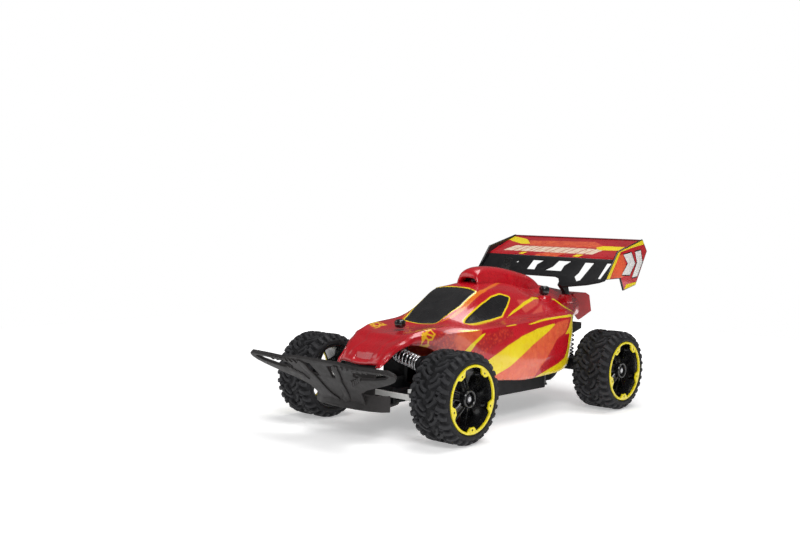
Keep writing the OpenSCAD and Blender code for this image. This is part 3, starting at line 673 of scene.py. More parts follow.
def wheels():
    """Four wheels from one tyre for each side, one rim and one ring."""
    sources = {"rim": rim_mesh(), "ring": ring_mesh()}
    for side, hand in SIDES:
        tyre = tyre_mesh(side)
        tyre.data.transform(Matrix.Translation((side * TYRE_MID_X * MM, 0, 0)))
        for end, y in (("front", FRONT_Y), ("rear", REAR_Y)):
            body = f"wheel_front_{hand}" if end == "front" else "rear_wheels"
            slots = {"tyre": "tyre_rubber", "rim": "rim_black", "ring": "ring_yellow"}
            for kind, slot in slots.items():
                mesh = tyre.data if kind == "tyre" else one_sided(sources[kind].data, side)
                obj = bpy.data.objects.new(f"{end}_{kind}_{hand}_look", mesh)
                obj.location = Vector((0, y, WHEEL_Z)) * MM
                bpy.context.scene.collection.objects.link(obj)
                settle(obj, body, slot, f"{end}_{kind}_{hand}")
        bpy.data.objects.remove(tyre)
    for source in sources.values():
        bpy.data.objects.remove(source)


wheels()


# ---- painted shell ----

# One row per station along the car, then the (x, z) points of its left half from the sill
# over the shoulder and the roof's edge to the centre line: the same stations as the CAD shell.
BODY = [
    [-144, [21, 57], [23, 57.5], [24, 58.5], [20, 60.5], [14, 60.5], [8, 60], [0, 59.5]],
    [-136, [24.5, 61], [25.5, 62.5], [26, 65], [23, 68.5], [15, 68], [9, 67], [0, 66.5]],
    [-127, [28, 69], [29.5, 71], [29, 74], [25, 75.5], [17, 74.5], [10, 73.5], [0, 73]],
    [-118, [31, 73.5], [33, 75.5], [31.5, 78.5], [27, 80], [19, 79], [11, 78], [0, 77.5]],
    [-111.5, [32, 74.5], [34, 77], [33.5, 82], [29, 83.5], [21, 83], [11, 82], [0, 81.9]],
    [-98, [34, 72.5], [36.5, 76], [36, 83], [33, 87], [21.5, 85], [11, 84], [0, 83.8]],
    [-88, [35, 69], [38.5, 74], [38.5, 83], [34.5, 88], [21.5, 86.5], [11, 85.3], [0, 84.9]],
    [-67, [39, 56], [43, 64], [45, 84], [36, 89.5], [21.5, 90], [11, 88.8], [0, 88]],
    [-45, [50, 43], [56, 55], [54, 86], [39.5, 90.5], [22, 101.5], [12, 101], [0, 100.8]],
    [-10, [60, 38.5], [65, 52], [60, 88], [42, 92], [24, 117.5], [12, 119.3], [0, 119.5]],
    [15, [62, 37], [66, 52], [60, 89], [43, 93.5], [25, 117], [14, 122], [0, 123.5]],
    [45, [62, 38], [66, 54], [59, 90], [44, 95], [27, 112], [15, 120], [0, 123]],
    [75, [61, 40.5], [64, 60], [58, 91], [44, 97], [29, 106.5], [16, 113], [0, 121]],
    [92, [57, 55], [59.5, 74], [57, 91], [43, 96], [30, 104], [16, 109.5], [0, 119]],
    [99, [51, 76], [55, 81], [54, 90.5], [42, 95.5], [29.5, 103.8], [16, 109.3], [0, 118]],
    [115, [40, 86], [45, 88], [46, 91], [38, 96.5], [28, 103.5], [15, 109], [0, 116.5]],
    [140, [28, 86], [31, 89], [32, 94], [28, 100], [22, 104.5], [11, 109], [0, 112.5]],
    [160, [20, 84], [22, 86], [23, 94], [21, 100], [16, 104], [8, 107.5], [0, 109.3]],
]
# how round each of the seven lines is across the car, and how finely each gap is divided
ROUNDNESS = (0, 0.55, 0.3, 0.6, 0.45, 0.8, 1)
FINENESS = (6, 20, 12, 18, 9, 9)
SHELL_T = 1.5


def hermite(p0, p1, m0, m1, t):
    """A point between p0 and p1 on the cubic that leaves and arrives along m0 and m1."""
    return ((2 * t ** 3 - 3 * t ** 2 + 1) * p0 + (t ** 3 - 2 * t ** 2 + t) * m0
            + (3 * t ** 2 - 2 * t ** 3) * p1 + (t ** 3 - t ** 2) * m1)


def along(values, places, y):
    """Values of the stations at a place along the car, on a soft curve through them."""
    i = min(max(int(np.searchsorted(places, y)) - 1, 0), len(places) - 2)
    span = places[i + 1] - places[i]
    slopes = [(values[k + 1] - values[k]) / (places[k + 1] - places[k]) for k in
              (max(i - 1, 0), i, min(i + 1, len(places) - 2))]
    ends = []
    for a, b in zip(slopes, slopes[1:]):
        mean = 0.5 * (a + b)
        held = np.minimum(abs(mean), 3 * np.minimum(abs(a), abs(b)))
        ends.append(np.where(a * b > 0, np.sign(mean) * held, 0.0) * span)
    return hermite(values[i], values[i + 1], *ends, (y - places[i]) / span)


def section(points):
    """The whole section through the seven points of its left half, rounded by ROUNDNESS."""
    full = np.vstack([points, points[-2::-1] * (-1, 1)])
    roundness = ROUNDNESS + ROUNDNESS[-2::-1]
    fineness = FINENESS + FINENESS[::-1]
    out = []
    for i in range(len(full) - 1):
        step = full[i + 1] - full[i]
        before = full[i] - full[max(i - 1, 0)]
        after = full[min(i + 2, len(full) - 1)] - full[i + 1]
        length = np.linalg.norm(step)

        def soft(other, k):
            """A tangent between this gap's own direction and the one shared with its neighbour."""
            size = np.linalg.norm(other)
            if size == 0:
                return step
            shared = (other / size + step / length)
            return (1 - k) * step + k * shared / max(np.linalg.norm(shared), 1e-6) * length * 0.9

        m0, m1 = soft(before, roundness[i]), soft(after, roundness[i + 1])
        out += [hermite(full[i], full[i + 1], m0, m1, k / fineness[i]) for k in range(fineness[i])]
    out.append(full[-1])
    return out


def shell_points():
    """Rows of points over the painted shell, about 2 mm apart."""
    places = np.array([row[0] for row in BODY], float)
    values = np.array([row[1:] for row in BODY], float)
    ys = []
    for y0, y1 in zip(places, places[1:]):
        steps = max(2, int((y1 - y0) / 1.9))
        ys += [y0 + (y1 - y0) * k / steps for k in range(steps)]
    ys.append(places[-1])
    return [[(x, y, z) for x, z in section(along(values, places, y))] for y in ys]


# ---- printed livery: outlines in millimetres, on the left half, mirrored to the right ----

# seen from the side: (y, z)
SIDE_WINDOW = [(-49, 91), (-34, 97.5), (-17, 105), (0, 110.5), (14, 112.5), (26, 109.5), (16, 102.5),
               (1, 94.2), (-18, 92), (-38, 90.4), (-46, 90.2)]
BAND = [(-46, 55), (-39, 59.5), (-31, 64), (-17, 71), (4, 77.6), (29, 82.4), (65, 86), (43, 77.2), (20, 69),
        (-4.5, 57.7), (-26, 46), (-36, 38)]
SLASH = [(-63, 64), (-55, 74), (-46, 81.5), (-40, 83.6), (-51, 74), (-58, 63)]
ORANGE_FRONT = [(-80, 72), (-74, 86), (-44, 86), (-46, 81.5), (-55, 74), (-63, 64), (-70, 60)]
ORANGE_LOW = [(-38, 36), (-26, 46), (-4.5, 57.7), (20, 69), (43, 77.2), (65, 86), (88, 88), (77, 76),
              (60, 71), (46, 60), (33, 48), (22, 34)]
REAR_EDGE = [(93, 89.5), (84, 80), (75, 73.5), (84, 74.5), (82, 70), (74, 52), (62, 47.5), (49, 44),
             (32, 39), (20, 35), (112, 30), (112, 90.2), (100, 90.6)]
CELLS = [(-104, 70), (-103, 84), (-96, 89), (-85, 88.5), (-91, 80), (-95, 72)]
SCALES_FRONT = [(-95, 72), (-91, 80), (-85, 86.6), (-66, 86.2), (-70, 78), (-64, 66), (-74, 58), (-86, 66)]
SCALES_MID = [(-57, 62), (-50, 74), (-40, 81.5), (-22, 85.5), (-10, 84.5), (-8, 79), (-31, 72), (-44, 64),
              (-50, 57)]
# pale pinkish patches behind the side window: a painted highlight on the side pod
HIGHLIGHT_PATCH = [(36, 107), (75, 105.4), (62, 101), (35.5, 95.2)]
HIGHLIGHT_PATCH_SMALL = [(42, 93.9), (70.8, 101.7), (61.2, 95.5)]
KNOB_LINE = [(76, 106.4, 0.7), (66, 107, 1.1), (45.5, 103.5, 1.2), (23, 97.6, 0.9), (7, 92.8, 0.2)]
SHOULDER_LINES = [[(-66, 85.6, 0.2), (-57, 85.2, 0.8), (-46.6, 85.4, 0.6)],
                  [(-17, 87.6, 0.3), (-3.6, 88, 0.7), (0, 88.1, 0.3)],
                  [(11, 86.2, 0.2), (28, 88.4, 0.9), (47, 89.8, 1.0), (72, 90.6, 1.0), (98, 90.6, 1.2)]]
# seen from above: (x, y)
WINDSCREEN = [(-1, -66), (18.6, -66.6), (23.6, -38), (24.2, -17), (12, -13), (-1, -12.6)]
SCREEN_EDGE = [(21.5, -66, 0.3), (26.4, -52, 1.4), (26.6, -38, 1.5), (26.4, -17, 1.1), (24.6, -4.6, 1.3),
               (18.6, 16.8, 1.5), (9, 45, 1.0), (4, 62, 0.2)]
REAR_KNOB_LINE = [(27.6, 99.5, 0.6), (29, 104.6, 1.5), (35.5, 107, 1.9), (41.4, 111, 1.7), (45, 115, 1.0)]
NOSE_PANEL = [(-1, -109), (13, -110), (18.5, -115), (12.5, -122), (15, -130), (17.5, -138), (-1, -138.5)]
NOSE_POCKET = [(-1, -135.6), (10.4, -135.9), (9.4, -141.2), (-1, -141.2)]


def inside_by(outline, u, v):
    """How far points are inside an outline, in millimetres; negative outside it."""
    pts = np.array(outline, float)
    best = np.full(u.shape, 1e9)
    crossed = np.zeros(u.shape, bool)
    for (ax, ay), (bx, by) in zip(pts, np.roll(pts, -1, axis=0)):
        dx, dy = bx - ax, by - ay
        t = np.clip(((u - ax) * dx + (v - ay) * dy) / (dx * dx + dy * dy), 0, 1)
        best = np.minimum(best, np.hypot(u - ax - t * dx, v - ay - t * dy))
        if dy:
            crossed ^= ((ay > v) != (by > v)) & (u < dx * (v - ay) / dy + ax)
    return np.where(crossed, best, -best)


def line_by(line, u, v):
    """How far points are inside a drawn line of (u, v, half width) points."""
    best = np.full(u.shape, -1e9)
    for (ax, ay, aw), (bx, by, bw) in zip(line, line[1:]):
        dx, dy = bx - ax, by - ay
        t = np.clip(((u - ax) * dx + (v - ay) * dy) / (dx * dx + dy * dy), 0, 1)
        best = np.maximum(best, aw + t * (bw - aw) - np.hypot(u - ax - t * dx, v - ay - t * dy))
    return best


def coordinates(mesh):
    co = np.empty(len(mesh.vertices) * 3)
    mesh.vertices.foreach_get("co", co)
    return co.reshape(-1, 3) / MM


def store(mesh, name, values):
    """Keeps one number for each vertex, which the livery's material reads."""
    mesh.attributes.new(name, "FLOAT", "POINT").data.foreach_set("value", np.asarray(values, np.float32))


def pushed(mesh, depths_mm):
    """Moves vertices along their normals."""
    co = coordinates(mesh)
    normals = np.array([v.normal for v in mesh.vertices])
    mesh.vertices.foreach_set("co", ((co + normals * np.asarray(depths_mm)[:, None]) * MM).ravel())
    mesh.update()


def step_over(distance, width):
    t = np.clip(distance / width, 0, 1)
    return t * t * (3 - 2 * t)


def print_shell(mesh):
    """Works out the livery and the pressed-in relief of the shell at every vertex."""
    co = coordinates(mesh)
    x, y, z = np.abs(co[:, 0]), co[:, 1], co[:, 2]
    off_side = np.where(x > 20, 0, -50)
    window = inside_by(SIDE_WINDOW, y, z) + off_side
    screen = inside_by(WINDSCREEN, x, y)
    glass = np.maximum(window, screen)
    yellow = np.maximum.reduce([inside_by(o, y, z) + off_side for o in (BAND, SLASH, REAR_EDGE)]
                               + [line_by(o, y, z) + off_side for o in [KNOB_LINE] + SHOULDER_LINES]
                               + [line_by(REAR_KNOB_LINE, x, y), glass + 1.1])
    orange = np.maximum.reduce([inside_by(o, y, z) + off_side for o in (ORANGE_FRONT, ORANGE_LOW)])
    store(mesh, "yellow", yellow)
    store(mesh, "orange", orange)
    store(mesh, "gold", np.maximum(line_by(SCREEN_EDGE, x, y), glass + 1.5))
    store(mesh, "glass", glass)
    # the pale patches behind the window are a painted highlight
    store(mesh, "painted_highlight", np.maximum(*[inside_by(o, y, z) + off_side for o in (HIGHLIGHT_PATCH, HIGHLIGHT_PATCH_SMALL)]))
    store(mesh, "cells", inside_by(CELLS, y, z) + off_side)
    store(mesh, "scales", np.maximum(*[inside_by(o, y, z) + off_side for o in (SCALES_FRONT, SCALES_MID)]))
    relief = -0.55 * step_over(glass + 0.2, 0.7) + 0.35 * step_over(glass + 2.2, 0.8)
    relief += 0.7 * step_over(inside_by(NOSE_PANEL, x, y), 0.9)
    relief -= 1.5 * step_over(inside_by(NOSE_POCKET, x, y), 0.9)
    relief[z < 45] = 0
    pushed(mesh, relief - 0.35)


def body_paint():
    """Deep red gloss with printed yellow, orange, gold and black, a scale print, and a clear coat."""
    n = Nodes("body_red")

    def printed(name, edge=0.06):
        return n.fit(n.attribute(name), -edge, edge, 0, 1)

    slow = n.fit(n.noise(30, 3), 0.3, 0.7, 0, 1)
    red = n.mix(slow, (0.5, 0.002, 0.010), (0.62, 0.005, 0.016))
    orange = n.mix(n.fit(n.noise(6, 4), 0.35, 0.7, 0, 1), (0.78, 0.085, 0.03), (0.88, 0.15, 0.045))
    tone = n.mix(printed("orange"), red, orange)
    scale_print = n.fit(n.cells(2.6), 0.15, 0.6, 0, 1)
    scale_tone = n.mix(scale_print, (0.72, 0.07, 0.03), (0.42, 0.006, 0.012))
    tone = n.mix(n.math("MULTIPLY", printed("scales", 1.5), 0.85), tone, scale_tone)
    ring = n.math("LESS_THAN", n.cells(5.2, "DISTANCE_TO_EDGE"), 0.16)
    tone = n.mix(n.math("MULTIPLY", printed("cells", 0.5), ring), tone, (0.95, 0.5, 0.01))
    # painted highlight: a pale pinkish tone mixed in at half strength over the patches behind the window
    tone = n.mix(n.math("MULTIPLY", printed("painted_highlight", 0.3), 0.5), tone, (0.85, 0.16, 0.1))
    tone = n.mix(printed("gold"), tone, (0.85, 0.19, 0.012))
    yellow = n.mix(n.fit(n.noise(12, 3), 0.3, 0.7, 0, 1), (0.92, 0.66, 0.002), (0.97, 0.78, 0.008))
    tone = n.mix(printed("yellow"), tone, yellow)
    black = n.mix(n.fit(n.noise(8, 3), 0.3, 0.7, 0, 1), (0.004, 0.004, 0.005), (0.012, 0.011, 0.012))
    tone = n.mix(printed("glass"), tone, black)
    rough = n.fit(n.noise(9, 3), 0.35, 0.75, 0.25, 0.32)
    ripple = n.bump(n.noise(16, 2), 0.12, 0.5)
    return n.finish(tone, rough, n.bump(n.noise(0.5, 2), 0.006, before=ripple), coat=0.7, coat_rough=0.04)


MAT["body_red"] = body_paint()


def body_shell():
    """The painted skin with its open sill, its closed tail and the marks of its livery."""
    rows = shell_points()
    points, faces = rings_mesh(rows, closed_ends=False, wrap=False)
    n = len(rows[0])
    tail = [(len(rows) - 1) * n + k for k in range(n)]
    faces.append(tuple(reversed(tail)))
    shell = mesh_piece("painted_shell", points, faces, MAT["body_red"], 35)
    middle = shell.data.vertices[len(points) // 2 + n // 4]
    if middle.normal.z < 0:
        shell.data.flip_normals()
    print_shell(shell.data)
    skin = shell.modifiers.new("skin", "SOLIDIFY")
    skin.thickness = SHELL_T * MM
    skin.offset = -1
    settle(shell, "shell", "body_red", "body_shell")
    return shell


def plain_paint(mesh, **values):
    """Gives a mesh the livery's attributes, all off except those named."""
    n = len(mesh.vertices)
    for name in ("yellow", "orange", "gold", "glass", "painted_highlight", "cells", "scales"):
        store(mesh, name, values.get(name, np.full(n, -9.0)))


def roof_scoop():
    """Smooth fin-shaped intake that grows out of the roof; a black sheet inside its mouth at the front stands
    in for the shade in the hollow (painted shade).
    """
    profile = [(1, 121, 128.5), (2.6, 120.5, 132), (6, 120, 134.8), (12, 119, 136.6), (20, 118, 137.2),
               (31, 117, 137.1), (45, 116, 135.8), (60, 114, 133.4), (78, 112, 130.0), (94, 110.5, 126.6),
               (106, 109, 120.5), (111.5, 108.5, 115.5)]
    rings = []
    for y, low, top in profile:
        w = 13.2 * (1 - 0.35 * step_over(np.array(y - 60.0), 55)) * (0.95 if y < 2 else 1)
        h = max(top - low, 1)
        arc = [(w * (1 - 0.16 * t ** 2), low + h * 0.62 * t) for t in (0, 0.25, 0.5, 0.75, 1)]
        cap = [(w * 0.84 * cos(a) ** 0.75, low + h * (0.62 + 0.38 * sin(a))) for a in
               [radians(d) for d in (15, 30, 45, 60, 75, 88)]]
        half = arc + cap
        rings.append([(x, y, z) for x, z in half] + [(-x, y, z) for x, z in reversed(half)])
    points, faces = rings_mesh(rings, closed_ends=False, wrap=False)
    n = len(rings[0])
    faces.append(tuple((len(rings) - 1) * n + k for k in range(n)))
    lip = [[(x * 0.78, y + d, 121.4 + (z - 121) * 0.66) for x, y, z in rings[0]] for d in (0, 10)]
    inner, inner_faces = rings_mesh([rings[0]] + lip, closed_ends=False, wrap=False)
    offset = len(points)
    points += inner
    faces += [tuple(k + offset for k in face) for face in inner_faces]
    scoop = mesh_piece("roof_scoop", points, faces, MAT["body_red"], 40)
    weld(scoop)
    plain_paint(scoop.data)
    soft = scoop.modifiers.new("soft", "SUBSURF")
    soft.levels = soft.render_levels = 2
    settle(scoop, "shell", "body_red")
    # black sheet inside the scoop's mouth: painted shade for its hollow
    back = mesh_piece("scoop_mouth_shade_sheet", [(-10.5, 9, 121), (10.5, 9, 121), (9, 9, 127), (0, 9, 128.4),
                                      (-9, 9, 127)], [(0, 1, 2, 3, 4)], MAT["gloss_black"])
    thick = back.modifiers.new("thick", "SOLIDIFY")
    thick.thickness = 1.0 * MM
    settle(back, "shell", "gloss_black")


def tail_fairing():
    """Red skirt under the rear deck, between the side pods and the tail box."""
    outline = [(104, 96), (110, 91.5), (160, 88.6), (162, 91), (162, 101.5), (125, 106), (106, 104)]
    fairing = plate("tail_fairing", [outline], 34, 2, MAT["body_red"], facing_x(-17))
    plain_paint(fairing.data)
    settle(fairing, "shell", "body_red")


def shell_bosses():
    """Low round bosses under the rear knobs, and the pads that the wing's feet stand on."""
    pieces = []
    for side, _ in SIDES:
        profile = [(98, 8.4), (104.5, 7.6), (107.3, 6.7), (107.9, 6.2), (107.9, 2.0), (98, 2.0)]
        boss = revolved("boss", profile, MAT["body_red"], 40)
        place = Matrix.Translation(Vector((side * REAR_KNOB[0], REAR_KNOB[1], 0)) * MM)
        boss.matrix_world = place @ UPRIGHT
        pad = tapered_block("pad", (side * 28, 126, 103.4), (11, 11, 9), MAT["body_red"], taper=0.86)
        pieces += [boss, bevelled(pad, 1.2, 3)]
    bosses = joined("shell_bosses", pieces)
    bosses.data.shade_smooth()
    bosses.data.set_sharp_from_angle(angle=radians(35))
    plain_paint(bosses.data)
    settle(bosses, "shell", "body_red")


def tapered_block(name, centre, size, material, taper=1.0):
    """A block whose top is smaller than its foot by a factor."""
    (cx, cy, cz), (sx, sy, sz) = centre, (s / 2 for s in size)
    points = [(cx + i * sx * k, cy + j * sy * k, cz + l * sz)
              for l, k in ((-1, 1.0), (1, taper)) for i, j in ((-1, -1), (1, -1), (1, 1), (-1, 1))]
    faces = [(3, 2, 1, 0), (4, 5, 6, 7), (0, 1, 5, 4), (1, 2, 6, 5), (2, 3, 7, 6), (3, 0, 4, 7)]
    return mesh_piece(name, points, faces, material)


body_shell()
roof_scoop()
tail_fairing()
shell_bosses()


# ---- wing, endplates, bumper, springs and knobs ----

WING_TOP = [(137.4, 144.6), (138.4, 146.3), (148, 150.2), (158, 153.8), (171, 158.6), (183, 162.6),
            (184, 164.2), (185.4, 164)]
WING_UNDER = [(185.3, 161.6), (176, 158), (159, 151.3), (140, 144.2)]
WING_X = 77.4
# the underside of the bumper's tongue and bowl
SOLE_Z = 24.05
# printed on the wing's top: (x, y), ahead of the rear edge
WING_YELLOW = [[(-79, 172), (-79, 183), (-56, 176), (-43, 163), (-54, 162)],
               [(-40, 138), (-37, 142), (-31, 142), (-34, 138)],
               [(27, 138), (30, 142), (38, 142), (35, 138)],
               [(40, 160.5), (46, 165.5), (71, 165.5), (69, 156), (48, 154.5)]]
WING_ORANGE = [[(-54, 162), (-43, 163), (-50, 172), (30, 176), (46, 165.5), (40, 160.5), (-30, 158)],
               [(-20, 137), (-8, 143), (20, 143), (8, 137)]]


def wing_paint():
    """The livery's red gloss with pale blocks, orange and yellow flashes."""
    n = Nodes("wing_paint")

    def printed(name):
        return n.fit(n.attribute(name), -0.08, 0.08, 0, 1)

    tone = n.mix(n.fit(n.noise(24, 3), 0.3, 0.7, 0, 1), (0.42, 0.003, 0.010), (0.58, 0.007, 0.016))
    orange = n.mix(n.fit(n.noise(5, 4), 0.35, 0.7, 0, 1), (0.66, 0.06, 0.025), (0.84, 0.14, 0.04))
    tone = n.mix(printed("orange"), tone, orange)
    blocks = printed("pale")
    pale = n.mix(n.fit(n.noise(4, 4), 0.35, 0.7, 0, 1), (0.85, 0.6, 0.42), (0.95, 0.82, 0.66))
    tone = n.mix(blocks, tone, pale)
    tone = n.mix(printed("yellow"), tone, (0.95, 0.74, 0.005))
    # painted shade: the blade's underside and the back of its lip turn very dark red
    tone = n.mix(printed("painted_shade"), tone, (0.16, 0.003, 0.006))
    rough = n.fit(n.noise(4, 5), 0.35, 0.75, 0.26, 0.4)
    return n.finish(tone, rough, n.bump(n.noise(14, 2), 0.08, 0.5), coat=0.6)


def spaced(points, step):
    """A line of points with more added between them, no further apart than a step."""
    out = []
    for a, b in zip(points, points[1:]):
        count = max(1, int(math.dist(a, b) / step))
        out += [tuple(p + (q - p) * k / count for p, q in zip(a, b)) for k in range(count)]
    return out + [points[-1]]


def wing():
    """Main blade with a small upturned lip, printed on top."""
    section_points = spaced(WING_TOP, 0.8) + WING_UNDER
    rings = [[(x, y, z) for y, z in section_points] for x in np.linspace(-WING_X, WING_X, 194)]
    points, faces = rings_mesh(rings)
    blade = mesh_piece("wing_blade", points, faces, MAT["wing_paint"], 30)
    if blade.data.vertices[97 * len(section_points) + 20].normal.z < 0:
        blade.data.flip_normals()
    co = coordinates(blade.data)
    x, y, z = co.T
    top = np.where((z > 144.4 + (y - 137.4) * 0.385) & (y < 183.4), 0, -50)
    store(blade.data, "yellow", np.maximum.reduce([inside_by(o, x, y) for o in WING_YELLOW]) + top)
    store(blade.data, "orange", np.maximum.reduce([inside_by(o, x, y) for o in WING_ORANGE]) + top)
    pale = np.full(len(co), -9.0)
    at = -64.0
    for width in (13, 8, 11, 6, 12, 9, 12, 8, 12, 10, 11):
        block = [(at, 143.6), (at + width - 1.2, 143.6), (at + width + 5, 157.5), (at + 6.2, 157.5)]
        pale = np.maximum(pale, inside_by(block, x, y))
        at += width
    store(blade.data, "pale", pale + top)
    # painted shade on the underside below the chord and on the lip's back
    store(blade.data, "painted_shade", np.where(z < 144.4 + (y - 137.4) * 0.385, 0.5, y - 183.0))
    settle(blade, "shell", "body_red", "rear_wing")


END_OUTLINE = [(116, 125.5), (137.7, 152.7), (185.2, 164.6), (195, 152.5), (179.5, 127.4), (174, 118.4),
               (150.7, 113.8), (144, 126)]
END_FIELD = [(117.6, 126.1), (138.3, 151.8), (184.7, 163.5), (193.6, 152.3), (178.6, 128), (173.3, 119.3),
             (151.4, 114.9), (144.6, 126.9)]
END_PRINTS = {
    "yellow": [[(117.4, 126.2), (138.2, 151.9), (142.5, 152.2), (123.5, 126.4)],
               [(138.4, 152.1), (184.8, 163.7), (188.2, 159.6), (165, 156.4), (143, 152.4)],
               [(151.2, 114.9), (155.5, 120), (174.9, 121.8), (173.3, 119.2)]],
    "orange": [[(125.5, 127), (141, 149), (146, 150), (160, 130), (146, 127)]],
    "white": [[(146, 129.5), (161, 129.5), (171, 140.5), (163, 151.5), (148, 149.5), (157, 140.5)],
              [(166, 126.5), (176, 127.5), (185.5, 141.5), (181.5, 153.5), (170.5, 152), (175, 141)]]}


def grown(outline, by):
    """An outline moved outwards from its centre, for a rim round a print."""
    cx, cy = (sum(p[k] for p in outline) / len(outline) for k in (0, 1))
    out = []
    for x, y in outline:
        reach = math.dist((x, y), (cx, cy))
        out.append((x + (x - cx) / reach * by, y + (y - cy) / reach * by))
    return out


def endplates():
    """Two flat ends to the wing: black, with printed panels on the outside."""
    for side, hand in SIDES:
        end = plate(f"endplate_{hand}_look", [END_OUTLINE], 1.9, 0.5, MAT["gloss_black"],
                    facing_x(77.7, side))
        field = plate("field", [END_FIELD], 0.24, 0.06, MAT["wing_red"], facing_x(79.46, side))
        prints = []
        for kind, outlines in END_PRINTS.items():
            for k, outline in enumerate(outlines):
                if kind == "white":
                    prints.append(plate("print", [grown(outline, 1.3)], 0.16, 0.04, MAT["gloss_black"],
                                        facing_x(79.66, side)))
                prints.append(plate("print", [outline], 0.18, 0.04, MAT[f"print_{kind}"],
                                    facing_x(79.78 if kind == "white" else 79.64 + 0.03 * k, side)))
        for obj in [end, field] + prints:
            if side < 0:
                obj.data.flip_normals()
        settle(end, "shell", "gloss_black", f"wing_endplate_{hand}")
        settle(joined(f"endplate_{hand}_field", [field]), "shell", "body_red")
        settle(joined(f"endplate_{hand}_prints", prints), "shell", "body_red")


def wing_support():
    """Black panel under the wing with raked openings, on two feet."""
    half = [(19, 2), (24, 0), (29, -8), (34, -11), (60, -6), (72, -2), (77.2, 1), (77.2, 28.6)]
    outline = [(-x, y) for x, y in reversed(half)] + half
    openings = [[(69.5, 24), (75, 24), (71.5, 2.5), (68, 2.5)],
                [(44.5, 23.5), (55.5, 23.5), (50, -1), (46.5, -2.5), (41, 4), (43.5, 9.5)],
                [(13, 24), (29, 24), (23, 17), (22.5, 9.5), (2, 9.5), (9.5, 15.5)],
                [(-18, 23), (-4, 23), (-10, 16.5), (-9.8, 9.5), (-20, 9.5)],
                [(-55, 23.5), (-44, 23.5), (-41, 8), (-50, 0)], circle(-36, 19, 1.4, 16)]
    rise, run = 0.7127, 0.7018
    lean = Matrix(((1, 0, 0, 0), (0, run, -rise, 118.6 * MM), (0, rise, run, 123.2 * MM), (0, 0, 0, 1)))
    panel = plate("wing_panel", [outline] + openings, 1.6, 0.4, MAT["chassis_black"], lean)
    pieces = [panel]
    for side, _ in SIDES:
        foot = [(113, 117.5), (117.5, 122.5), (121.5, 125), (127, 116), (129.6, 109.6), (130.2, 108.1),
                (121.8, 108.1), (121.4, 110.5), (117, 114)]
        pieces.append(plate("foot", [foot], 4.8, 0.9, MAT["chassis_black"], facing_x(side * 28 - 2.4)))
    settle(joined("wing_support_look", pieces), "shell", "chassis_black", "wing_support")


def bumper():
    """Ram plate with two open horns, raked ribs and raised struts, over a bowl, a tongue and a brace."""
    grey = MAT["bumper_grey"]
    tilt = radians(133)
    pose = Matrix(((1, 0, 0, 0), (0, cos(tilt), -sin(tilt), -155.5 * MM), (0, sin(tilt), cos(tilt), 29 * MM),
                   (0, 0, 0, 1)))
    half = [(0, 0), (24, 0), (27, 10), (30, 18), (40, 24), (58, 31), (72, 37), (80, 41.5), (83.8, 46),
            (83.3, 49.6), (79, 52.4), (60, 51.8), (40, 50.4), (26, 53.6), (0, 53.6)]
    horn = [(37, 44.4), (56, 46.8), (74, 48.2), (77, 46.8), (71, 43.2), (57, 39.4), (41, 37.2), (35, 40)]
    window = [(7, 34), (10, 48), (16.5, 49), (21, 44), (19, 33.5)]
    s_strut = [(20.5, 51.5), (15.5, 47.5), (14.6, 40), (11.6, 33), (10.4, 24), (8, 14), (2.6, 7.6),
               (3.2, 3.4), (8.6, 5.6), (13, 11.6), (15.6, 22), (16.8, 31), (19.8, 38), (21.8, 46)]
    rim = [(39, 50), (60, 51.3), (78.4, 51.9), (82.4, 49), (81.2, 48.4), (77.6, 50.3), (60, 49.9), (39, 48.4)]
    holes = [[(s * x, y) for x, y in shape] for s in (1, -1) for shape in (horn, window)]
    pieces = [plate("ram", [mirrored(half)] + holes, 2.9, 0.8, grey, pose)]

    def relief(name, outline, thickness, edge, z):
        pieces.append(plate(name, [outline], thickness, edge, grey, pose @ raised(z)))

    for s in (1, -1):
        for x in (20, 25.5, 31, 36.5, 42, 47.5, 53):
            rib = [(s * x, 47), (s * (x + 2), 47), (s * (x + 4.2), 51), (s * (x + 2.2), 51)]
            relief("rib", rib, 1.3, 0.35, 2.7)
        relief("strut", [(s * x, v) for x, v in smooth_outline(s_strut, 3)], 1.7, 0.5, 2.3)
        relief("border", [(s * x, v) for x, v in rim], 1.3, 0.35, 2.6)
        for k in range(5):
            bar = [(s * (24.5 + k * 3.4), 26.5 + k * 2.2), (s * (26 + k * 3.4), 26 + k * 2.2),
                   (s * (30 + k * 3.2), 34 + k * 1.6), (s * (28.6 + k * 3.2), 34.6 + k * 1.6)]
            relief("bar", bar, 0.9, 0.25, 2.7)
    sole = smooth_outline([(-36, -154), (-20, -160), (0, -161.5), (20, -160), (36, -154), (30, -142),
                           (20, -113), (0, -112.4), (-20, -113), (-30, -142)], 5)
    tongue = plate("tongue", [sole], 2.9, 0.8, grey, raised(SOLE_Z))
    bow = [(42, -148.5), (38, -154), (28, -158.5), (14, -161), (0, -161.6)]
    bow += [(-x, y) for x, y in reversed(bow[:-1])]
    inner = [(x * 0.955, y + 2.2) for x, y in reversed(bow)]
    bowl = plate("bowl", [bow + inner], 13.5, 0.7, grey, raised(SOLE_Z))
    across = Matrix(((1, 0, 0, 0), (0, 0.26, -0.966, -148 * MM), (0, 0.966, 0.26, 26 * MM), (0, 0, 0, 1)))
    wall = [(-24, 0), (24, 0), (20, 22), (17.5, 35), (-17.5, 35), (-20, 22)]
    brace = plate("brace", [wall], 1.8, 0.5, grey, across)
    collar = [(24.6, 3.4), (28.2, 3.4), (28.9, 2.6), (28.9, 1.2), (27.9, 0.9), (24.6, 0.9)]
    bolt = revolved("bolt", collar, grey, 24)
    bolt.matrix_world = Matrix.Translation(Vector((11, -150, 0)) * MM) @ UPRIGHT
    whole = joined("bumper_look", pieces + [tongue, bowl, brace, bolt])
    settle(whole, "chassis", "bumper_grey", "front_bumper")


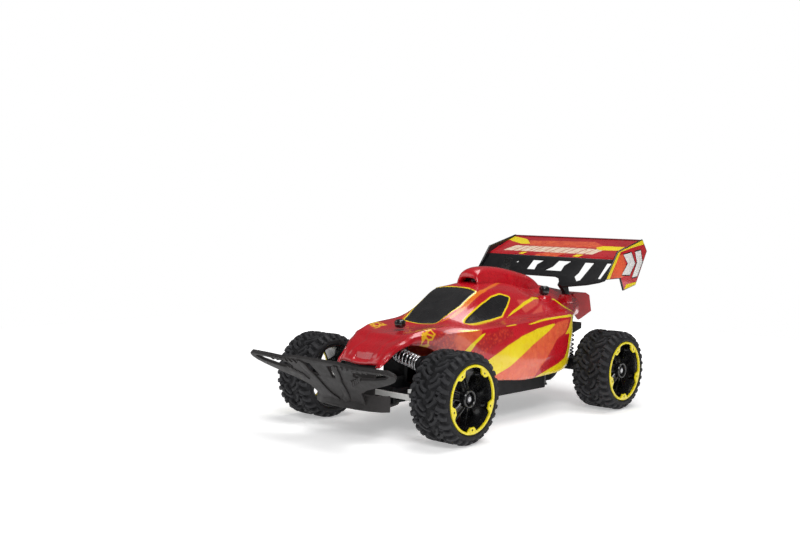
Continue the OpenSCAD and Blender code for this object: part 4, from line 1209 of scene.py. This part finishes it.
def coil(name, start, end, radius, wire, turns, material):
    """A compression spring whose first and last turns lie closer together."""
    start, end = Vector(start), Vector(end)
    axis = (end - start).normalized()
    side = axis.orthogonal().normalized()
    other = axis.cross(side)
    length = (end - start).length
    path, steps = [], int(turns * 28)
    for k in range(steps + 1):
        t = k / steps
        eased = t - 0.035 * sin(2 * pi * t)
        along_axis = wire + (length - 2 * wire) * min(1, max(0, eased))
        a = 2 * pi * turns * t
        path.append(start + axis * along_axis + (side * cos(a) + other * sin(a)) * radius)
    return tube(name, path, wire, material, 10)


def springs():
    """Bright coils over the front arms, black ones over the rear axle."""
    for side, hand in SIDES:
        inner, outer = Vector((side * 14.3, FRONT_Y, 66.5)), Vector((side * 41, FRONT_Y, 60.4))
        front = coil(f"front_spring_{hand}_look", inner, outer, 5.7, 0.8, 7.5, MAT["spring_steel"])
        settle(front, "chassis", "spring_steel", f"front_spring_{hand}")
        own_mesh(front)
        rear = coil(f"rear_spring_{hand}_look", (side * 31, 127, 76), (side * 31, 127, 46), 6.1, 0.8, 7.5,
                    MAT["spring_black"])
        settle(rear, "chassis", "spring_black", f"rear_spring_{hand}")
        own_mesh(rear)


def knob(name, body, at, foot, top, node):
    """Round thumb knob: domed head with a hollow in its top and a ribbed rim."""
    profile = [(foot, 2.8), (foot + 0.5, 3.9), (foot + 1.6, 4.7), (foot + 2.6, 4.95), (top - 2.4, 4.95),
               (top - 1.1, 4.5), (top - 0.3, 3.6), (top, 2.7), (top - 0.2, 1.9), (top - 1.4, 1.7),
               (top - 1.5, 0.05), (foot, 0.05)]
    head = revolved(name, profile, MAT["gloss_black"], 40, closed=False)
    grips = []
    for k in range(14):
        a = 2 * pi * k / 14
        grip = tapered_block("grip", (4.6 * cos(a), 4.6 * sin(a), 0), (0.55, 0.55, top - foot - 5.2),
                         MAT["gloss_black"])
        grip.matrix_world = Matrix.Translation((0, 0, (top + foot + 1.2) / 2 * MM))
        grips.append(grip)
    head.matrix_world = UPRIGHT
    whole = joined(name, [head] + grips)
    whole.data.transform(Matrix.Translation(Vector((at[0], at[1], 0)) * MM))
    settle(whole, body, "gloss_black", node)


MAT["wing_paint"] = wing_paint()
MAT["wing_red"] = moulded("wing_red", (0.55, 0.006, 0.014), 0.28, 1.2, 0.01, 0.15, coat=0.5)
MAT["print_yellow"] = moulded("print_yellow", (0.93, 0.72, 0.006), 0.3, 1.2, 0.01, 0.05, coat=0.4)
MAT["print_orange"] = moulded("print_orange", (0.8, 0.11, 0.035), 0.3, 1.2, 0.01, 0.15, coat=0.4)
MAT["print_white"] = moulded("print_white", (0.86, 0.85, 0.82), 0.3, 1.2, 0.01, 0.04, coat=0.4)
wing()
endplates()
wing_support()
bumper()
springs()
knob("knob_front_look", "knob_front", (0, -92), 86.0, 93.2, "front_knob")
for side, hand in SIDES:
    knob(f"knob_rear_{hand}_look", f"knob_rear_{hand}", (side * REAR_KNOB[0], REAR_KNOB[1]), 108.4, 117,
         f"rear_knob_{hand}")


# ---- CAD nodes that keep their shape ----

def dress_cad_nodes():
    """Gives every CAD node the material of its slot."""
    finish = {part["node"]: part["material_slot"] for part in frame["record"]["subparts"]}
    for name, obj in frame["nodes"].items():
        # CAD nodes in the body's red get the darker tail red, which is painted shade
        key = {"body_red": "tail_red"}.get(finish[name], finish[name])
        if name.endswith("nut_left") or name.endswith("nut_right"):
            key = "black_steel"
        obj.data.materials.clear()
        obj.data.materials.append(MAT[key])


dress_cad_nodes()
